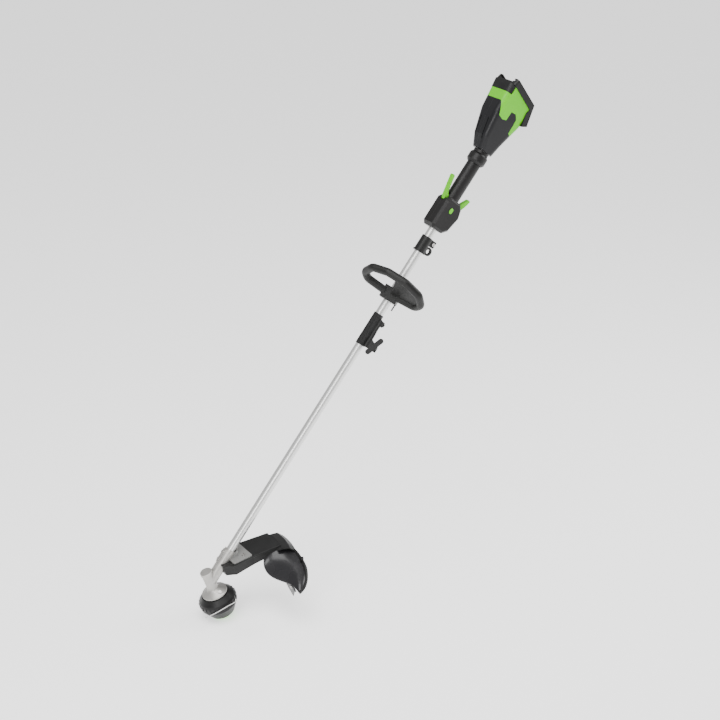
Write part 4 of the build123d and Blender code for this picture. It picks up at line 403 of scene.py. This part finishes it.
grip_skin, wire, shader = new_finish("grip_skin", shine=0.25)
hand_shine = noise(wire, 18.0, 4.0)
lay_on(wire, shader, tint(wire, hand_shine, *GRIP_SHADES), 0.30 + hand_shine * 0.22,
       joint_groove(wire, GRIP_GROOVE_SLOPE) + leather_grain(wire, 480.0) * 0.3, 0.0010, 0.5)
wear(grip_skin, "grip_left", "grip_right", "grip_collar")
wear(black_nylon, "trigger_switch")

# Controls: green trigger and lock-off lever on steel pins, and a speed button in the left half.
# All three are glossy mouldings that the hand polishes.
wear(green_gloss, "trigger", "lock_off_lever", "speed_button")

# Rear housing: two black halves with a fine even grain, screwed together round the motor.
# A green band snaps over the halves and forks round a bare panel on each side.
HOUSING_SHADES = ((0.004, 0.004, 0.005), (0.012, 0.012, 0.013))
HOUSING_GROOVE_SLOPE = 1200
housing_black, wire, shader = new_finish("housing_black", shine=0.25)
even_grain = noise(wire, 1300.0, 2.0)
polish = noise(wire, 12.0, 3.0)
lay_on(wire, shader, tint(wire, polish, *HOUSING_SHADES), 0.24 + polish * 0.18,
       joint_groove(wire, HOUSING_GROOVE_SLOPE) + even_grain * 0.25, 0.0010, 0.45)
wear(housing_black, "rear_housing_left", "rear_housing_right")
wear(green_gloss, "rear_cover")

# Battery dock and release cap: black nylon, the dock across the rear end with its chin under the housing.
# Rails in the dock take a slide-on battery, which the cap's stems let go.
wear(black_nylon, "battery_dock", "battery_latch", "terminal_block", "motor_fan")

# Motor and electrics inside the rear housing: a laminated steel stator and rotor and a green board.
# Brass blades in the terminal block reach for the battery's contacts.
LAMINATION_SHADES = ((0.16, 0.16, 0.17), (0.34, 0.34, 0.34))
lamination, wire, shader = new_finish("lamination", metallic=0.9)
sheets = noise(wire, 1.0, 2.0, stretched(wire, 40, 40, 1800))
lay_on(wire, shader, tint(wire, sheets, *LAMINATION_SHADES), 0.4 + sheets * 0.2, sheets, 0.0002)
wear(lamination, "motor_stator", "motor_rotor")
BOARD_SHADES = ((0.010, 0.10, 0.035), (0.030, 0.20, 0.070))
TRACE_EDGE = 0.55
board_green, wire, shader = new_finish("board_green")
traces = noise(wire, 400.0, 1.0)
lay_on(wire, shader, tint(wire, traces > TRACE_EDGE, *BOARD_SHADES), 0.35 + traces * 0.2)
wear(board_green, "controller_board")
BRASS_SHADES = ((0.55, 0.40, 0.16), (0.78, 0.62, 0.32))
contact_brass, wire, shader = new_finish("contact_brass", metallic=1.0)
wipe = noise(wire, 1.0, 3.0, stretched(wire, 60, 1500, 60))
lay_on(wire, shader, tint(wire, wipe, *BRASS_SHADES), 0.22 + wipe * 0.2)
wear(contact_brass, "terminal_blades")

# Floor, light and camera: a pale even floor that glows a little, under large soft lamps.
# The camera looks down on the trimmer from the front left with a long lens.
FLOOR_HEIGHT = -0.0066
FLOOR_HALF = 40.0
floor_mesh = bpy.data.meshes.new("floor")
floor_corners = [(x * FLOOR_HALF, y * FLOOR_HALF, FLOOR_HEIGHT)
                 for x, y in ((-1, -1), (1, -1), (1, 1), (-1, 1))]
floor_mesh.from_pydata(floor_corners, [], [(0, 1, 2, 3)])
floor = bpy.data.objects.new("floor", floor_mesh)
bpy.context.scene.collection.objects.link(floor)
floor_paper, wire, shader = new_finish("floor_paper")
shader.inputs["Base Color"].default_value = (0.90, 0.90, 0.90, 1)
shader.inputs["Roughness"].default_value = 0.9
shader.inputs["Emission Color"].default_value = (1, 1, 1, 1)
shader.inputs["Emission Strength"].default_value = 1.0
floor_mesh.materials.append(floor_paper)
world = bpy.data.worlds.new("studio")
bpy.context.scene.world = world
world.use_nodes = True
world.node_tree.nodes["Background"].inputs["Color"].default_value = (1, 1, 1, 1)
world.node_tree.nodes["Background"].inputs["Strength"].default_value = 0.6


def soft_light(name, place, aim, size, power):
    """A large square lamp that looks at a point."""
    lamp = bpy.data.lights.new(name, "AREA")
    lamp.size = size
    lamp.energy = power
    made = bpy.data.objects.new(name, lamp)
    made.location = place
    made.rotation_euler = (Vector(aim) - Vector(place)).to_track_quat("-Z", "Y").to_euler()
    bpy.context.scene.collection.objects.link(made)


soft_light("overhead", (-0.6, -1.2, 4.2), (0.4, 0, 0.5), size=3.0, power=190)
soft_light("left_fill", (-2.6, -2.4, 2.2), (0.4, 0, 0.8), size=1.4, power=60)
soft_light("right_rim", (3.0, -0.6, 2.4), (0.5, 0, 0.9), size=1.4, power=50)

VIEW_TURN = math.radians(-32)
VIEW_RISE = math.radians(23)
VIEW_CENTRE = Vector((0.4645, -0.0174, 0.7129))
VIEW_REACH = 4.963
to_camera = Vector((math.sin(VIEW_TURN) * math.cos(VIEW_RISE), -math.cos(VIEW_TURN) * math.cos(VIEW_RISE),
                    math.sin(VIEW_RISE)))
camera_data = bpy.data.cameras.new("camera")
camera_data.lens = 85
camera_data.sensor_width = 36
camera = bpy.data.objects.new("camera", camera_data)
camera.location = VIEW_CENTRE + to_camera * VIEW_REACH
camera.rotation_euler = (-to_camera).to_track_quat("-Z", "Y").to_euler()
bpy.context.scene.collection.objects.link(camera)
bpy.context.scene.camera = camera
